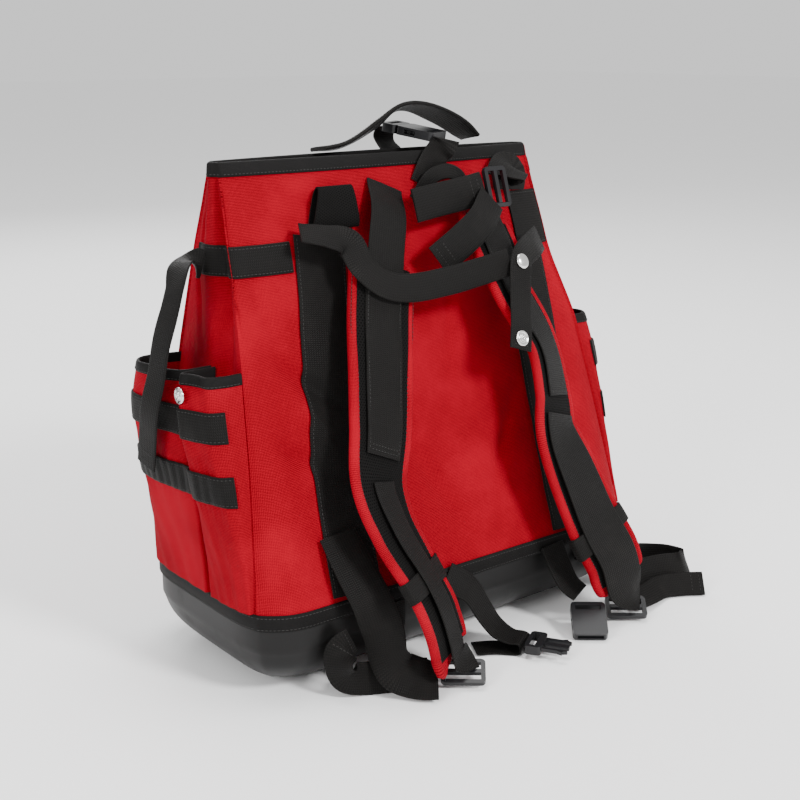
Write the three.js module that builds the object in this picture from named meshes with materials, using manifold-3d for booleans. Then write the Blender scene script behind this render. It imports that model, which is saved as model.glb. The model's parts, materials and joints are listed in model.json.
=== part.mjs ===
// A tool backpack that stands on its moulded tray, seen from its harness side.
// Millimetres, +Z up. X runs to the right when the harness side is faced, and the harness side faces -Y.
// The origin is the middle of the tray's underside.
// "Left" and "right" are those of someone who faces the harness side.

import * as THREE from "three";
import { mergeVertices } from "three/addons/utils/BufferGeometryUtils.js";
import Module from "manifold-3d";

// Bag body
const bagWidth = 438;
const bagDepth = 204;
const bagHeight = 432;
const clothWall = 2.5;
const mouthWidth = 352;
const mouthGap = 30;
const mouthSetback = 33;
const gussetRidge = 6;
const seamGap = 0.6;

// Moulded tray
const trayHeight = 72;
const trayWall = 4;
const trayFloor = 5;
const trayCornerRadius = 39;
const trayFootInset = 52;
const trayFootRise = 46;

// Bound edges
const bindingWall = 1.5;
const mouthBindingHeight = 12;
const trayBindingHeight = 14;
const pocketBindingHeight = 9;

// Clearance between pieces that touch
const clear = 0.4;

// Foot of the tray, from its underside to the wall: shares of the foot's inset and rise
const footProfile = [
  { inset: 1.00, up: 0.00 },
  { inset: 0.66, up: 0.11 },
  { inset: 0.36, up: 0.29 },
  { inset: 0.12, up: 0.60 },
  { inset: 0.00, up: 1.00 },
];

// Side pockets. Their front edge tucks in below: by pocketTuck of the side, until the flare lets it out.
const pocketTop = 268;
const leftPocketFlare = 34;
const rightPocketFlare = 23;
const pocketWall = 2;
const pocketFootGap = 2;
const pocketEndGap = 1;
const pocketTuck = 0.10;
const pocketUntuck = 3;
const pocketBandWidth = 25;
const upperPocketBand = 216;
const lowerPocketBand = 165;

// Webbing
const webbing = 1.6;
const sideBandWidth = 25;
const wideBandWidth = 50;
const backWebbingWidth = 50;
const hangingStrapWidth = 25;

// Shoulder straps
const padWidth = 67;
const padWall = 8;
const padEase = 2.4;
const padWebbingWidth = 38;
const padLowerWebbingWidth = 25;
const rightLowerWebbingWidth = 46;
const lockWebbingWidth = 26;
const keeperWidth = 20;
const keeperGap = 0.5;
const yokeWidth = 30;
const sleeveHeight = 34;
const sleeveGap = 8;
const sleeveSlant = 14;
const sleeveFlat = 0.8;
const sternumWidth = 25;
const tabWidth = 25;
const tailWidth = 30;
const anchorWidth = 38;

// Mouth closure and handle
const closureWidth = 25;
const closureAnchorWidth = 14;
const handleWidth = 25;
const handleWall = 3.6;

// Loose straps
const adjustWidth = 36;
const leftTailWidth = 28;
const rightTailWidth = 24;
const waistWidth = 28;

// Small pieces sewn on
const baseTabWidth = 26;
const baseTabHeight = 24;
const sideTabHeight = 14;
const sideTabStart = -0.95;
const baseTabAcross = -0.415;

// Buckles, ladder locks and snaps
const buckleWidth = 32;
const buckleWall = 8;
const buckleRound = 4;
const buckleBar = 4;
const buckleSlot = 5;
const buckleSide = 4;
const buckleSkin = 2;
const socketLength = 38;
const socketBlock = 12;
const plugBarLength = 15;
const prongLength = 23;
const tongueWidth = 6;
const armWidth = 3.4;
const barbReach = 2.2;
const windowStart = 18;
const windowLength = 11;
const ladderLockLength = 26;
const ladderLockWidth = 38;
const ladderLockWall = 4;
const ladderLockRim = 4;
const snapRadius = 7;
const snapHeight = 3;

// How finely the curved surfaces are cut
const wideHalfColumns = 7;
const sideHalfColumns = 3;
const panelRows = 14;
const sewnSteps = 12;
const cornerSegments = 3;
const snapSides = 12;

// Stations: over which a strap rises to its lift, by which a pad's webbing runs past the pad, where the left
// pad starts, and the last ones of the pads' upper webbing
const riseStations = 3;
const padTailStations = 2;
const leftPadStart = 4;
const leftSplit = 11;
const rightSplit = 8;

// How fast dents fade out towards the wall's ends and its seams, and the least share of a mitred corner
const dentEndFade = 8;
const dentSeamFade = 5;
const mitreLimit = 0.5;

// The bag's plan at rising shares of the height from tray to mouth.
// narrow: how far the width has gone from the tray's to the mouth's.
// lean: how far the harness wall has gone from the tray's place to the mouth's.
// close: the same for the front wall.
// round: how far the corner seams sit in from the flat walls, a share of the tray's corner radius.
// spread: the share of the half width over which a wall rounds into its corner.
// fold: how sharply the side's middle folds, from a flat side (6) to a tent (1).
// pinch: how far the right-hand corner seams sit in, a share of gussetRidge.
const bodySections = [
  { up: 0.00, narrow: 0.00, lean: 0.00, close: 0.00, round: 0.50, spread: 0.17, fold: 6.0, pinch: 0.0 },
  { up: 0.15, narrow: 0.16, lean: 0.15, close: 0.12, round: 0.36, spread: 0.16, fold: 4.0, pinch: 0.0 },
  { up: 0.33, narrow: 0.34, lean: 0.33, close: 0.30, round: 0.20, spread: 0.14, fold: 2.4, pinch: 0.0 },
  { up: 0.55, narrow: 0.53, lean: 0.55, close: 0.54, round: 0.08, spread: 0.12, fold: 1.4, pinch: 0.2 },
  { up: 0.72, narrow: 0.70, lean: 0.72, close: 0.71, round: 0.09, spread: 0.24, fold: 1.2, pinch: 1.8 },
  { up: 0.80, narrow: 0.78, lean: 0.80, close: 0.79, round: 0.10, spread: 0.30, fold: 1.1, pinch: 1.4 },
  { up: 1.00, narrow: 1.00, lean: 1.00, close: 1.00, round: 0.22, spread: 0.90, fold: 1.0, pinch: 0.2 },
];

// Soft dents and folds of the cloth, pressed inwards.
// across and up: the dent's middle, as shares of the half wall and of its height. turn: degrees from upright.
// long and wide: its reach, as shares of the wall's height. deep: a share of gussetRidge.
const dents = [
  { wall: "back", across: -0.80, up: 0.60, turn: -50, long: 0.20, wide: 0.07, deep: 0.55 },
  { wall: "back", across: -0.86, up: 0.42, turn: -38, long: 0.16, wide: 0.06, deep: 0.70 },
  { wall: "back", across: -0.74, up: 0.86, turn: -60, long: 0.10, wide: 0.06, deep: 0.50 },
  { wall: "back", across: 0.10, up: 0.45, turn: 0, long: 0.45, wide: 0.35, deep: 0.60 },
  { wall: "left", across: -0.62, up: 0.78, turn: 0, long: 0.20, wide: 0.06, deep: 1.10 },
  { wall: "left", across: -0.55, up: 0.60, turn: 8, long: 0.12, wide: 0.05, deep: 0.90 },
  { wall: "right", across: -0.58, up: 0.74, turn: 0, long: 0.22, wide: 0.06, deep: 1.00 },
  { wall: "front", across: 0.00, up: 0.50, turn: 0, long: 0.45, wide: 0.40, deep: 0.60 },
];

// A side pocket's wall in plan, from its rear end to its front end.
// along: -1 at the bag's rear corner seam, 1 at its front one. out: a share of the flare at that height.
const rearPocketPlan = [
  { along: -0.970, out: 0.00 },
  { along: -0.970, out: 0.42 },
  { along: -0.87, out: 0.74 },
  { along: -0.70, out: 0.86 },
  { along: -0.50, out: 0.93 },
  { along: -0.37, out: 0.95 },
  { along: -0.31, out: 0.80 },
  { along: -0.295, out: 0.00 },
];
const frontPocketPlan = [
  { along: -0.215, out: 0.00 },
  { along: -0.20, out: 0.62 },
  { along: -0.13, out: 0.76 },
  { along: 0.12, out: 0.94 },
  { along: 0.45, out: 1.08 },
  { along: 0.82, out: 1.20 },
  { along: 1.02, out: 1.10 },
  { along: 1.10, out: 0.70 },
  { along: 0.985, out: 0.00 },
];

// How far the pockets flare at rising shares of their height.
const pocketProfile = [
  { up: 0.00, flare: 0.02 },
  { up: 0.15, flare: 0.14 },
  { up: 0.32, flare: 0.36 },
  { up: 0.50, flare: 0.60 },
  { up: 0.70, flare: 0.88 },
  { up: 0.86, flare: 1.00 },
  { up: 1.00, flare: 0.97 },
];

// Routes of the straps. across: a share of half the bag's width. out: how far the strap's inner face stands
// off the harness side, a share of the bag's depth. up: a share of the bag's height. turn and tilt: the way
// the strap's outer face looks, in degrees, 0 straight out of the harness side.
const leftPadRoute = [
  { across: -0.064, out: 0.001, up: 0.935, turn: 0, tilt: 18 },
  { across: -0.115, out: 0.038, up: 0.885, turn: 0, tilt: 18 },
  { across: -0.200, out: 0.068, up: 0.800, turn: 0, tilt: 20 },
  { across: -0.290, out: 0.098, up: 0.690, turn: 0, tilt: 18 },
  { across: -0.350, out: 0.112, up: 0.585, turn: 2, tilt: 18 },
  { across: -0.410, out: 0.125, up: 0.490, turn: 6, tilt: 18 },
  { across: -0.475, out: 0.138, up: 0.400, turn: 14, tilt: 16 },
  { across: -0.465, out: 0.155, up: 0.320, turn: 24, tilt: 14 },
  { across: -0.412, out: 0.185, up: 0.235, turn: 30, tilt: 18 },
  { across: -0.370, out: 0.215, up: 0.160, turn: 30, tilt: 16 },
  { across: -0.335, out: 0.232, up: 0.095, turn: 28, tilt: 12 },
  { across: -0.320, out: 0.240, up: 0.062, turn: 26, tilt: 12 },
  { across: -0.230, out: 0.227, up: 0.0285, turn: -40, tilt: 66 },
];
const rightPadRoute = [
  { across: 0.400, out: 0.006, up: 0.852, turn: 4, tilt: 18 },
  { across: 0.375, out: 0.078, up: 0.805, turn: 8, tilt: 20 },
  { across: 0.375, out: 0.135, up: 0.715, turn: 22, tilt: 20 },
  { across: 0.460, out: 0.168, up: 0.600, turn: 28, tilt: 18 },
  { across: 0.462, out: 0.176, up: 0.490, turn: 24, tilt: 18 },
  { across: 0.440, out: 0.178, up: 0.420, turn: 18, tilt: 16 },
  { across: 0.480, out: 0.180, up: 0.340, turn: 8, tilt: 14 },
  { across: 0.552, out: 0.186, up: 0.220, turn: 0, tilt: 14 },
  { across: 0.612, out: 0.206, up: 0.145, turn: -2, tilt: 12 },
  { across: 0.640, out: 0.230, up: 0.088, turn: -2, tilt: 10 },
  { across: 0.717, out: 0.227, up: 0.029, turn: -39, tilt: 67 },
];
const yokeWebbingRoute = [
  { across: -0.010, out: 0.112, up: 0.897, turn: 0, tilt: 12 },
  { across: 0.120, out: 0.104, up: 0.904, turn: 0, tilt: 14 },
  { across: 0.280, out: 0.098, up: 0.912, turn: 0, tilt: 16 },
  { across: 0.381, out: 0.104, up: 0.920, turn: 0, tilt: 18 },
];
const yokeSleeveRoute = [
  { across: -0.475, out: 0.002, up: 0.900, turn: 0, tilt: 18 },
  { across: -0.330, out: 0.002, up: 0.900, turn: 0, tilt: 18 },
  { across: -0.250, out: 0.002, up: 0.900, turn: 0, tilt: 18 },
];
const harnessTailRoute = [
  { across: 0.398, out: 0.123, up: 0.896, turn: -6, tilt: 18 },
  { across: 0.275, out: 0.174, up: 0.858, turn: -8, tilt: 18 },
  { across: 0.170, out: 0.166, up: 0.826, turn: -6, tilt: 18 },
  { across: 0.052, out: 0.120, up: 0.786, turn: -4, tilt: 18 },
];
const harnessAnchorRoute = [
  { across: 0.610, out: -0.005, up: 0.905, turn: 0, tilt: 18 },
  { across: 0.615, out: 0.030, up: 0.945, turn: 0, tilt: 24 },
  { across: 0.580, out: 0.070, up: 0.955, turn: 0, tilt: 60 },
  { across: 0.518, out: 0.099, up: 0.936, turn: 0, tilt: 80 },
];
const sternumRoute = [
  { across: -0.560, out: 0.085, up: 0.866, turn: -10, tilt: 60 },
  { across: -0.460, out: 0.118, up: 0.856, turn: -10, tilt: 50 },
  { across: -0.375, out: 0.130, up: 0.842, turn: -30, tilt: 20 },
  { across: -0.350, out: 0.155, up: 0.800, turn: -5, tilt: 20 },
  { across: -0.270, out: 0.162, up: 0.762, turn: 0, tilt: 18 },
  { across: -0.160, out: 0.166, up: 0.748, turn: 0, tilt: 16 },
  { across: 0.030, out: 0.185, up: 0.752, turn: 0, tilt: 14 },
  { across: 0.200, out: 0.220, up: 0.766, turn: 0, tilt: 12 },
  { across: 0.330, out: 0.243, up: 0.778, turn: 4, tilt: 10 },
];
const sternumTabRoute = [
  { across: 0.640, out: 0.101, up: 0.805, turn: 10, tilt: 20 },
  { across: 0.520, out: 0.191, up: 0.800, turn: 0, tilt: 30 },
  { across: 0.390, out: 0.254, up: 0.780, turn: 0, tilt: 16 },
  { across: 0.350, out: 0.254, up: 0.720, turn: 0, tilt: 16 },
  { across: 0.300, out: 0.280, up: 0.660, turn: 0, tilt: 16 },
  { across: 0.264, out: 0.284, up: 0.610, turn: 0, tilt: 16 },
];
const closureStrapRoute = [
  { across: 0.130, out: 0.001, up: 0.930, turn: 0, tilt: 18 },
  { across: 0.175, out: 0.020, up: 0.968, turn: 0, tilt: 14 },
  { across: 0.222, out: 0.050, up: 0.998, turn: 0, tilt: 24 },
  { across: 0.240, out: 0.076, up: 1.014, turn: 10, tilt: 44 },
  { across: 0.246, out: 0.072, up: 1.021, turn: 20, tilt: 74 },
];
const closureFrontRoute = [
  { across: 0.165, out: -0.247, up: 1.042, turn: 180, tilt: 70 },
  { across: 0.160, out: -0.262, up: 1.020, turn: 180, tilt: 30 },
  { across: 0.156, out: -0.186, up: 0.984, turn: 180, tilt: -10 },
  { across: 0.154, out: -0.217, up: 0.930, turn: 180, tilt: 8 },
];
const handleRoute = [
  { across: -0.275, out: -0.118, up: 1.0045, turn: 180, tilt: 84 },
  { across: -0.150, out: -0.118, up: 1.010, turn: 195, tilt: 72 },
  { across: 0.036, out: -0.118, up: 1.052, turn: 206, tilt: 54 },
  { across: 0.142, out: -0.118, up: 1.081, turn: 180, tilt: 72 },
  { across: 0.225, out: -0.118, up: 1.082, turn: 180, tilt: 72 },
  { across: 0.350, out: -0.118, up: 1.062, turn: 160, tilt: 60 },
  { across: 0.460, out: -0.118, up: 1.036, turn: 150, tilt: 56 },
  { across: 0.530, out: -0.118, up: 1.012, turn: 170, tilt: 80 },
];
const closureAnchorRoute = [
  { across: 0.085, out: -0.003, up: 0.900, turn: 0, tilt: 18 },
  { across: 0.150, out: 0.046, up: 0.945, turn: 0, tilt: 18 },
  { across: 0.230, out: 0.064, up: 0.957, turn: 0, tilt: 18 },
  { across: 0.310, out: 0.046, up: 0.940, turn: 0, tilt: 18 },
  { across: 0.345, out: 0.000, up: 0.905, turn: 0, tilt: 18 },
];
const leftAdjustRoute = [
  { across: -0.622, out: 0.015, up: 0.306, turn: 0, tilt: 18 },
  { across: -0.608, out: 0.075, up: 0.245, turn: -10, tilt: 24 },
  { across: -0.580, out: 0.110, up: 0.185, turn: -14, tilt: 20 },
  { across: -0.550, out: 0.130, up: 0.125, turn: -50, tilt: 10 },
  { across: -0.550, out: 0.160, up: 0.083, turn: -60, tilt: 10 },
  { across: -0.532, out: 0.196, up: 0.056, turn: -40, tilt: 20 },
  { across: -0.490, out: 0.220, up: 0.042, turn: -24, tilt: 28 },
  { across: -0.454, out: 0.255, up: 0.036, turn: -16, tilt: 40 },
  { across: -0.404, out: 0.284, up: 0.028, turn: -10, tilt: 60 },
];
const leftTailRoute = [
  { across: -0.400, out: 0.215, up: 0.030, turn: -30, tilt: 30 },
  { across: -0.510, out: 0.145, up: 0.032, turn: -20, tilt: 20 },
  { across: -0.620, out: 0.092, up: 0.034, turn: -30, tilt: 16 },
  { across: -0.705, out: 0.080, up: 0.050, turn: -60, tilt: 10 },
  { across: -0.725, out: 0.072, up: 0.078, turn: -70, tilt: 0 },
  { across: -0.690, out: 0.056, up: 0.102, turn: -30, tilt: 0 },
  { across: -0.650, out: 0.050, up: 0.112, turn: 0, tilt: 0 },
];
const rightAdjustRoute = [
  { across: 0.620, out: 0.0185, up: 0.150, turn: 178, tilt: 0 },
  { across: 0.720, out: 0.120, up: 0.120, turn: 140, tilt: 4 },
  { across: 0.870, out: 0.050, up: 0.085, turn: 150, tilt: 4 },
  { across: 1.014, out: 0.024, up: 0.058, turn: 160, tilt: 6 },
  { across: 1.125, out: 0.078, up: 0.052, turn: 130, tilt: 14 },
  { across: 1.170, out: 0.160, up: 0.048, turn: 90, tilt: 20 },
  { across: 1.110, out: 0.196, up: 0.046, turn: 40, tilt: 20 },
  { across: 1.030, out: 0.150, up: 0.044, turn: -10, tilt: 20 },
  { across: 0.930, out: 0.120, up: 0.042, turn: 0, tilt: 20 },
  { across: 0.850, out: 0.130, up: 0.040, turn: 0, tilt: 30 },
];
const rightTailRoute = [
  { across: 0.752, out: 0.239, up: 0.026, turn: -20, tilt: 66 },
  { across: 0.868, out: 0.215, up: 0.022, turn: 0, tilt: 60 },
  { across: 0.977, out: 0.200, up: 0.023, turn: -10, tilt: 45 },
  { across: 1.062, out: 0.240, up: 0.024, turn: -30, tilt: 40 },
  { across: 1.145, out: 0.300, up: 0.024, turn: -35, tilt: 40 },
];
const leftWaistRoute = [
  { across: -0.150, out: 0.0125, up: 0.168, turn: 0, tilt: 10 },
  { across: -0.070, out: 0.060, up: 0.140, turn: 10, tilt: 30 },
  { across: 0.000, out: 0.085, up: 0.080, turn: 20, tilt: 20 },
  { across: 0.045, out: 0.110, up: 0.044, turn: 20, tilt: 40 },
  { across: 0.085, out: 0.160, up: 0.026, turn: 20, tilt: 80 },
  { across: 0.112, out: 0.200, up: 0.024, turn: 24, tilt: 84 },
  { across: 0.119, out: 0.212, up: 0.013, turn: 24, tilt: 0 },
  { across: 0.108, out: 0.198, up: 0.006, turn: 24, tilt: -84 },
  { across: 0.030, out: 0.120, up: 0.006, turn: 24, tilt: -86 },
  { across: -0.045, out: 0.075, up: 0.006, turn: 24, tilt: -86 },
];
const rightWaistRoute = [
  { across: 0.440, out: 0.0125, up: 0.165, turn: 0, tilt: 10 },
  { across: 0.446, out: 0.060, up: 0.125, turn: 0, tilt: 36 },
  { across: 0.462, out: 0.110, up: 0.085, turn: 0, tilt: 50 },
  { across: 0.484, out: 0.158, up: 0.068, turn: 0, tilt: 62 },
];
const hangingStrapRoute = [
  { across: -0.865, out: -0.178, up: 0.810, turn: -80, tilt: 0 },
  { across: -0.945, out: -0.175, up: 0.815, turn: -82, tilt: 60 },
  { across: -1.012, out: -0.140, up: 0.778, turn: -85, tilt: 20 },
  { across: -1.046, out: -0.165, up: 0.731, turn: -85, tilt: 4 },
  { across: -1.074, out: -0.227, up: 0.671, turn: -85, tilt: 4 },
  { across: -1.100, out: -0.274, up: 0.611, turn: -85, tilt: 4 },
  { across: -1.124, out: -0.332, up: 0.551, turn: -84, tilt: 0 },
  { across: -1.124, out: -0.412, up: 0.486, turn: -84, tilt: 0 },
  { across: -1.120, out: -0.489, up: 0.426, turn: -84, tilt: 0 },
];

// Routes that lie on the bag's walls. across and up are shares as above.
const leftBackWebbingRoute = [
  { across: -0.575, up: 0.190 },
  { across: -0.560, up: 0.340 },
  { across: -0.485, up: 0.650 },
  { across: -0.425, up: 0.850 },
];
const rightBackWebbingRoute = [
  { across: 0.585, up: 0.190 },
  { across: 0.590, up: 0.340 },
  { across: 0.600, up: 0.560 },
  { across: 0.610, up: 0.780 },
];

// Bands that go round a rear corner of the body: where each starts on the harness wall and ends on the side,
// and its lower edge, a share of the bag's height.
const sideBands = [
  { name: "left_side_band", side: -1, back: 0.690, end: 0.500, low: 0.789, width: sideBandWidth },
  { name: "right_side_band", side: 1, back: 0.760, end: 0.000, low: 0.785, width: wideBandWidth },
];

// Where the stiff fittings sit. across, fore and up: shares of half the bag's width, of its depth and of its
// height. heading: degrees in plan from +X. climb: degrees upwards. roll: degrees about the fitting's length.
const fittings = {
  closureBuckle: { across: 0.260, fore: 0.083, up: 1.0165, heading: 114.5, climb: 9, roll: 0 },
  waistPlug: { across: 0.1157, fore: -0.7326, up: 0.014, heading: 122, climb: 0, roll: 0 },
  waistSocket: { across: 0.490, fore: -0.698, up: 0.042, heading: -129, climb: -27, roll: 0 },
  leftLadderLock: { across: -0.232, fore: -0.730, up: 0.034, heading: -130, climb: -24, roll: 0 },
  rightLadderLock: { across: 0.716, fore: -0.706, up: 0.032, heading: -129, climb: -23, roll: 0 },
  harnessLadderLock: { across: 0.393, fore: -0.070, up: 0.918, heading: 0, climb: 0, roll: 72 },
};

// Where the snaps sit: shares of the sternum tab's length, and a place on the left front pocket.
const snapPlaces = { cap: 0.40, stud: 0.93 };
const pocketSnapPlace = { along: -0.41, out: 0.944 };
const pocketSnapDrop = 17;
const pocketSnapGap = 2;

// Where the keepers sit along the pads, in stations.
const leftKeeperStation = 16.5;
const rightKeeperStation = 14.4;

// Materials
const redCloth = new THREE.MeshStandardMaterial({ color: 0xb51c28, roughness: 0.85, metalness: 0 });
const blackWebbing = new THREE.MeshStandardMaterial({ color: 0x1e1d1b, roughness: 0.75, metalness: 0 });
const blackTray = new THREE.MeshStandardMaterial({ color: 0x22201f, roughness: 0.5, metalness: 0 });
const blackPlastic = new THREE.MeshStandardMaterial({ color: 0x1a1a1a, roughness: 0.4, metalness: 0 });
const snapMetal = new THREE.MeshStandardMaterial({ color: 0xc9c9c6, roughness: 0.25, metalness: 1 });

const kernel = await Module();
kernel.setup();

const backpack = new THREE.Group();

function addPiece(name, geometry, material) {
  geometry.computeVertexNormals();
  const mesh = new THREE.Mesh(geometry, material);
  mesh.name = name;
  backpack.add(mesh);
  return mesh;
}

// Values between the rows of a table, taken at a share of its first column.
function readTable(rows, key, at, column) {
  const last = rows.length - 1;
  let i = 0;
  while (i < last - 1 && at > rows[i + 1][key]) i += 1;
  const share = (at - rows[i][key]) / (rows[i + 1][key] - rows[i][key]);
  const clamped = THREE.MathUtils.clamp(share, 0, 1);
  return THREE.MathUtils.lerp(rows[i][column], rows[i + 1][column], clamped);
}

// Closed solids from rings of points

function geometryFrom(points, triangles) {
  const geometry = new THREE.BufferGeometry();
  const positions = [];
  points.forEach((point) => positions.push(point.x, point.y, point.z));
  let volume = 0;
  for (let i = 0; i < triangles.length; i += 3) {
    const [a, b, c] = [points[triangles[i]], points[triangles[i + 1]], points[triangles[i + 2]]];
    volume += a.dot(new THREE.Vector3().crossVectors(b, c));
  }
  const outward = [];
  for (let i = 0; i < triangles.length; i += 3) {
    const [a, b, c] = [triangles[i], triangles[i + 1], triangles[i + 2]];
    outward.push(...(volume > 0 ? [a, b, c] : [a, c, b]));
  }
  geometry.setAttribute("position", new THREE.Float32BufferAttribute(positions, 3));
  geometry.setIndex(outward);
  return geometry;
}

// Rings of the same number of points, joined in order. A closed run joins its last ring to its first.
function solidFromRings(rings, closedRun = false) {
  const count = rings[0].length;
  const triangles = [];
  const runs = closedRun ? rings.length : rings.length - 1;
  for (let i = 0; i < runs; i += 1) {
    const here = i * count;
    const next = ((i + 1) % rings.length) * count;
    for (let j = 0; j < count; j += 1) {
      const k = (j + 1) % count;
      triangles.push(here + j, next + j, next + k, here + j, next + k, here + k);
    }
  }
  if (!closedRun) {
    const end = (rings.length - 1) * count;
    for (let j = 1; j < count - 1; j += 1) {
      triangles.push(0, j, j + 1);
      triangles.push(end, end + j + 1, end + j);
    }
  }
  return geometryFrom(rings.flat(), triangles);
}

// A wall between an outer and an inner grid of points with the same rows and columns.
// A closed wall joins its last column to its first.
function wallFromGrids(outer, inner, closed = false) {
  const rows = outer.length;
  const columns = outer[0].length;
  const points = [...outer.flat(), ...inner.flat()];
  const offset = rows * columns;
  const triangles = [];
  const at = (row, column) => row * columns + (column % columns);
  const quad = (a, b, c, d) => triangles.push(a, b, c, a, c, d);
  const spans = closed ? columns : columns - 1;
  for (let c = 0; c < spans; c += 1) {
    for (let r = 0; r < rows - 1; r += 1) {
      quad(at(r, c), at(r, c + 1), at(r + 1, c + 1), at(r + 1, c));
      quad(offset + at(r, c), offset + at(r + 1, c), offset + at(r + 1, c + 1), offset + at(r, c + 1));
    }
    const low = [at(0, c), at(0, c + 1)];
    const high = [at(rows - 1, c), at(rows - 1, c + 1)];
    quad(low[1], low[0], offset + low[0], offset + low[1]);
    quad(high[0], high[1], offset + high[1], offset + high[0]);
  }
  for (let r = 0; r < rows - 1 && !closed; r += 1) {
    const first = [at(r, 0), at(r + 1, 0)];
    const last = [at(r, columns - 1), at(r + 1, columns - 1)];
    quad(first[0], first[1], offset + first[1], offset + first[0]);
    quad(last[0], offset + last[0], offset + last[1], last[1]);
  }
  return geometryFrom(points, triangles);
}

// The path moved sideways by a distance, with mitred corners. Positive goes to the left of its direction.
function offsetPath(path, distance, closed) {
  const count = path.length;
  return path.map((point, i) => {
    const before = path[closed ? (i + count - 1) % count : Math.max(i - 1, 0)];
    const after = path[closed ? (i + 1) % count : Math.min(i + 1, count - 1)];
    const into = new THREE.Vector2().subVectors(point, before);
    const from = new THREE.Vector2().subVectors(after, point);
    if (into.lengthSq() === 0) into.copy(from);
    if (from.lengthSq() === 0) from.copy(into);
    into.normalize();
    from.normalize();
    const sideways = new THREE.Vector2(-into.y - from.y, into.x + from.x).normalize();
    const stretch = 1 / Math.max(mitreLimit, sideways.x * -into.y + sideways.y * into.x);
    return new THREE.Vector2(point.x, point.y).addScaledVector(sideways, distance * stretch);
  });
}

function lift3(point, z) {
  return new THREE.Vector3(point.x, point.y, z);
}

// Body surface

const bodyRise = bagHeight - trayHeight;
const shareAt = (z) => THREE.MathUtils.clamp((z - trayHeight) / bodyRise, 0, 1);

function planAt(share) {
  const value = (column) => readTable(bodySections, "up", share, column);
  const lerp = THREE.MathUtils.lerp;
  const ridge = lerp(bagWidth, mouthWidth, value("narrow")) / 2;
  const back = lerp(-bagDepth / 2, mouthSetback - mouthGap / 2, value("lean"));
  const front = lerp(bagDepth / 2, mouthSetback + mouthGap / 2, value("close"));
  const drop = trayCornerRadius * value("round");
  const seam = ridge - gussetRidge;
  const pinched = seam - gussetRidge * value("pinch");
  return { seam, pinched, back, front, drop, spread: value("spread"), fold: value("fold") };
}

function cornerDrop(plan, across) {
  const beyond = Math.max(0, (Math.abs(across) - (1 - plan.spread)) / plan.spread);
  return plan.drop * beyond * beyond;
}

// A point of a wall's outer face in plan, before any dents.
function wallPoint(plan, wall, across) {
  const wide = across * (across < 0 ? plan.seam : plan.pinched);
  if (wall === "back") return new THREE.Vector2(wide, plan.back + cornerDrop(plan, across));
  if (wall === "front") return new THREE.Vector2(wide, plan.front - cornerDrop(plan, across));
  const rear = plan.back + plan.drop;
  const fore = plan.front - plan.drop;
  const bulge = gussetRidge * (1 - Math.abs(across) ** plan.fold);
  const x = wall === "left" ? -plan.seam - bulge : plan.pinched + bulge;
  return new THREE.Vector2(x, (rear + fore) / 2 + (across * (fore - rear)) / 2);
}

// Dents fade out towards the tray, the mouth and the corner seams.
function dentDepth(wall, across, share) {
  let depth = 0;
  dents.filter((dent) => dent.wall === wall).forEach((dent) => {
    const halfWall = (wall === "back" || wall === "front" ? bagWidth : bagDepth) / 2;
    const sideways = ((across - dent.across) * halfWall) / bodyRise;
    const upward = share - dent.up;
    const turn = THREE.MathUtils.degToRad(dent.turn);
    const alongDent = upward * Math.cos(turn) + sideways * Math.sin(turn);
    const acrossDent = -upward * Math.sin(turn) + sideways * Math.cos(turn);
    const away = (alongDent / dent.long) ** 2 + (acrossDent / dent.wide) ** 2;
    depth += dent.deep * gussetRidge * Math.exp(-away);
  });
  const ends = dentEndFade * Math.min(share, 1 - share);
  const fade = Math.min(1, ends, dentSeamFade * (1 - Math.abs(across)));
  return depth * fade;
}

// Places across a wide wall where its columns stand, closer together near the seams.
const evenColumns = (half) => Array.from({ length: 2 * half + 1 }, (_, i) => i / half - 1);
const wideColumns = evenColumns(wideHalfColumns).map((across) => Math.sin((Math.PI / 2) * across));
const sideColumns = evenColumns(sideHalfColumns);
const wallColumns = { back: wideColumns, right: sideColumns, front: wideColumns, left: sideColumns };

// A wall's outer face in plan: one point for each of its columns, from its left or rear seam to the other.
function wallLine(wall, share) {
  const plan = planAt(share);
  const inwards = { back: [0, 1], front: [0, -1], left: [1, 0], right: [-1, 0] }[wall];
  return wallColumns[wall].map((across) => {
    const point = wallPoint(plan, wall, across);
    const depth = dentDepth(wall, across, share);
    return new THREE.Vector2(point.x + inwards[0] * depth, point.y + inwards[1] * depth);
  });
}

// The levels where the cloth is shaped. Between them every surface runs straight.
const panelLow = trayHeight + clear;
const panelHigh = bagHeight - mouthBindingHeight - clear;
const levelAt = (row) => THREE.MathUtils.lerp(panelLow, panelHigh, row / panelRows);
const levels = Array.from({ length: panelRows + 1 }, (_, row) => levelAt(row));
levels.push(bagHeight);
const levelLines = levels.map((z) => ({
  back: wallLine("back", shareAt(z)),
  right: wallLine("right", shareAt(z)),
  front: wallLine("front", shareAt(z)),
  left: wallLine("left", shareAt(z)),
}));

const levelsBetween = (low, high) => [low, ...levels.filter((z) => z > low && z < high), high];

function lineAt(wall, z) {
  let i = 0;
  while (i < levels.length - 2 && z > levels[i + 1]) i += 1;
  const share = THREE.MathUtils.clamp((z - levels[i]) / (levels[i + 1] - levels[i]), 0, 1);
  return levelLines[i][wall].map((point, k) => point.clone().lerp(levelLines[i + 1][wall][k], share));
}

// A point on a wall's faceted face. Beyond a seam it carries straight on from it.
function wallAt(wall, across, z) {
  const line = lineAt(wall, z);
  const columns = wallColumns[wall];
  const inside = THREE.MathUtils.clamp(across, -1, 1);
  let k = 0;
  while (k < columns.length - 2 && inside > columns[k + 1]) k += 1;
  const point = line[k].clone().lerp(line[k + 1], (inside - columns[k]) / (columns[k + 1] - columns[k]));
  point.y += ((across - inside) * (line[line.length - 1].y - line[0].y)) / 2;
  return point;
}

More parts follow.
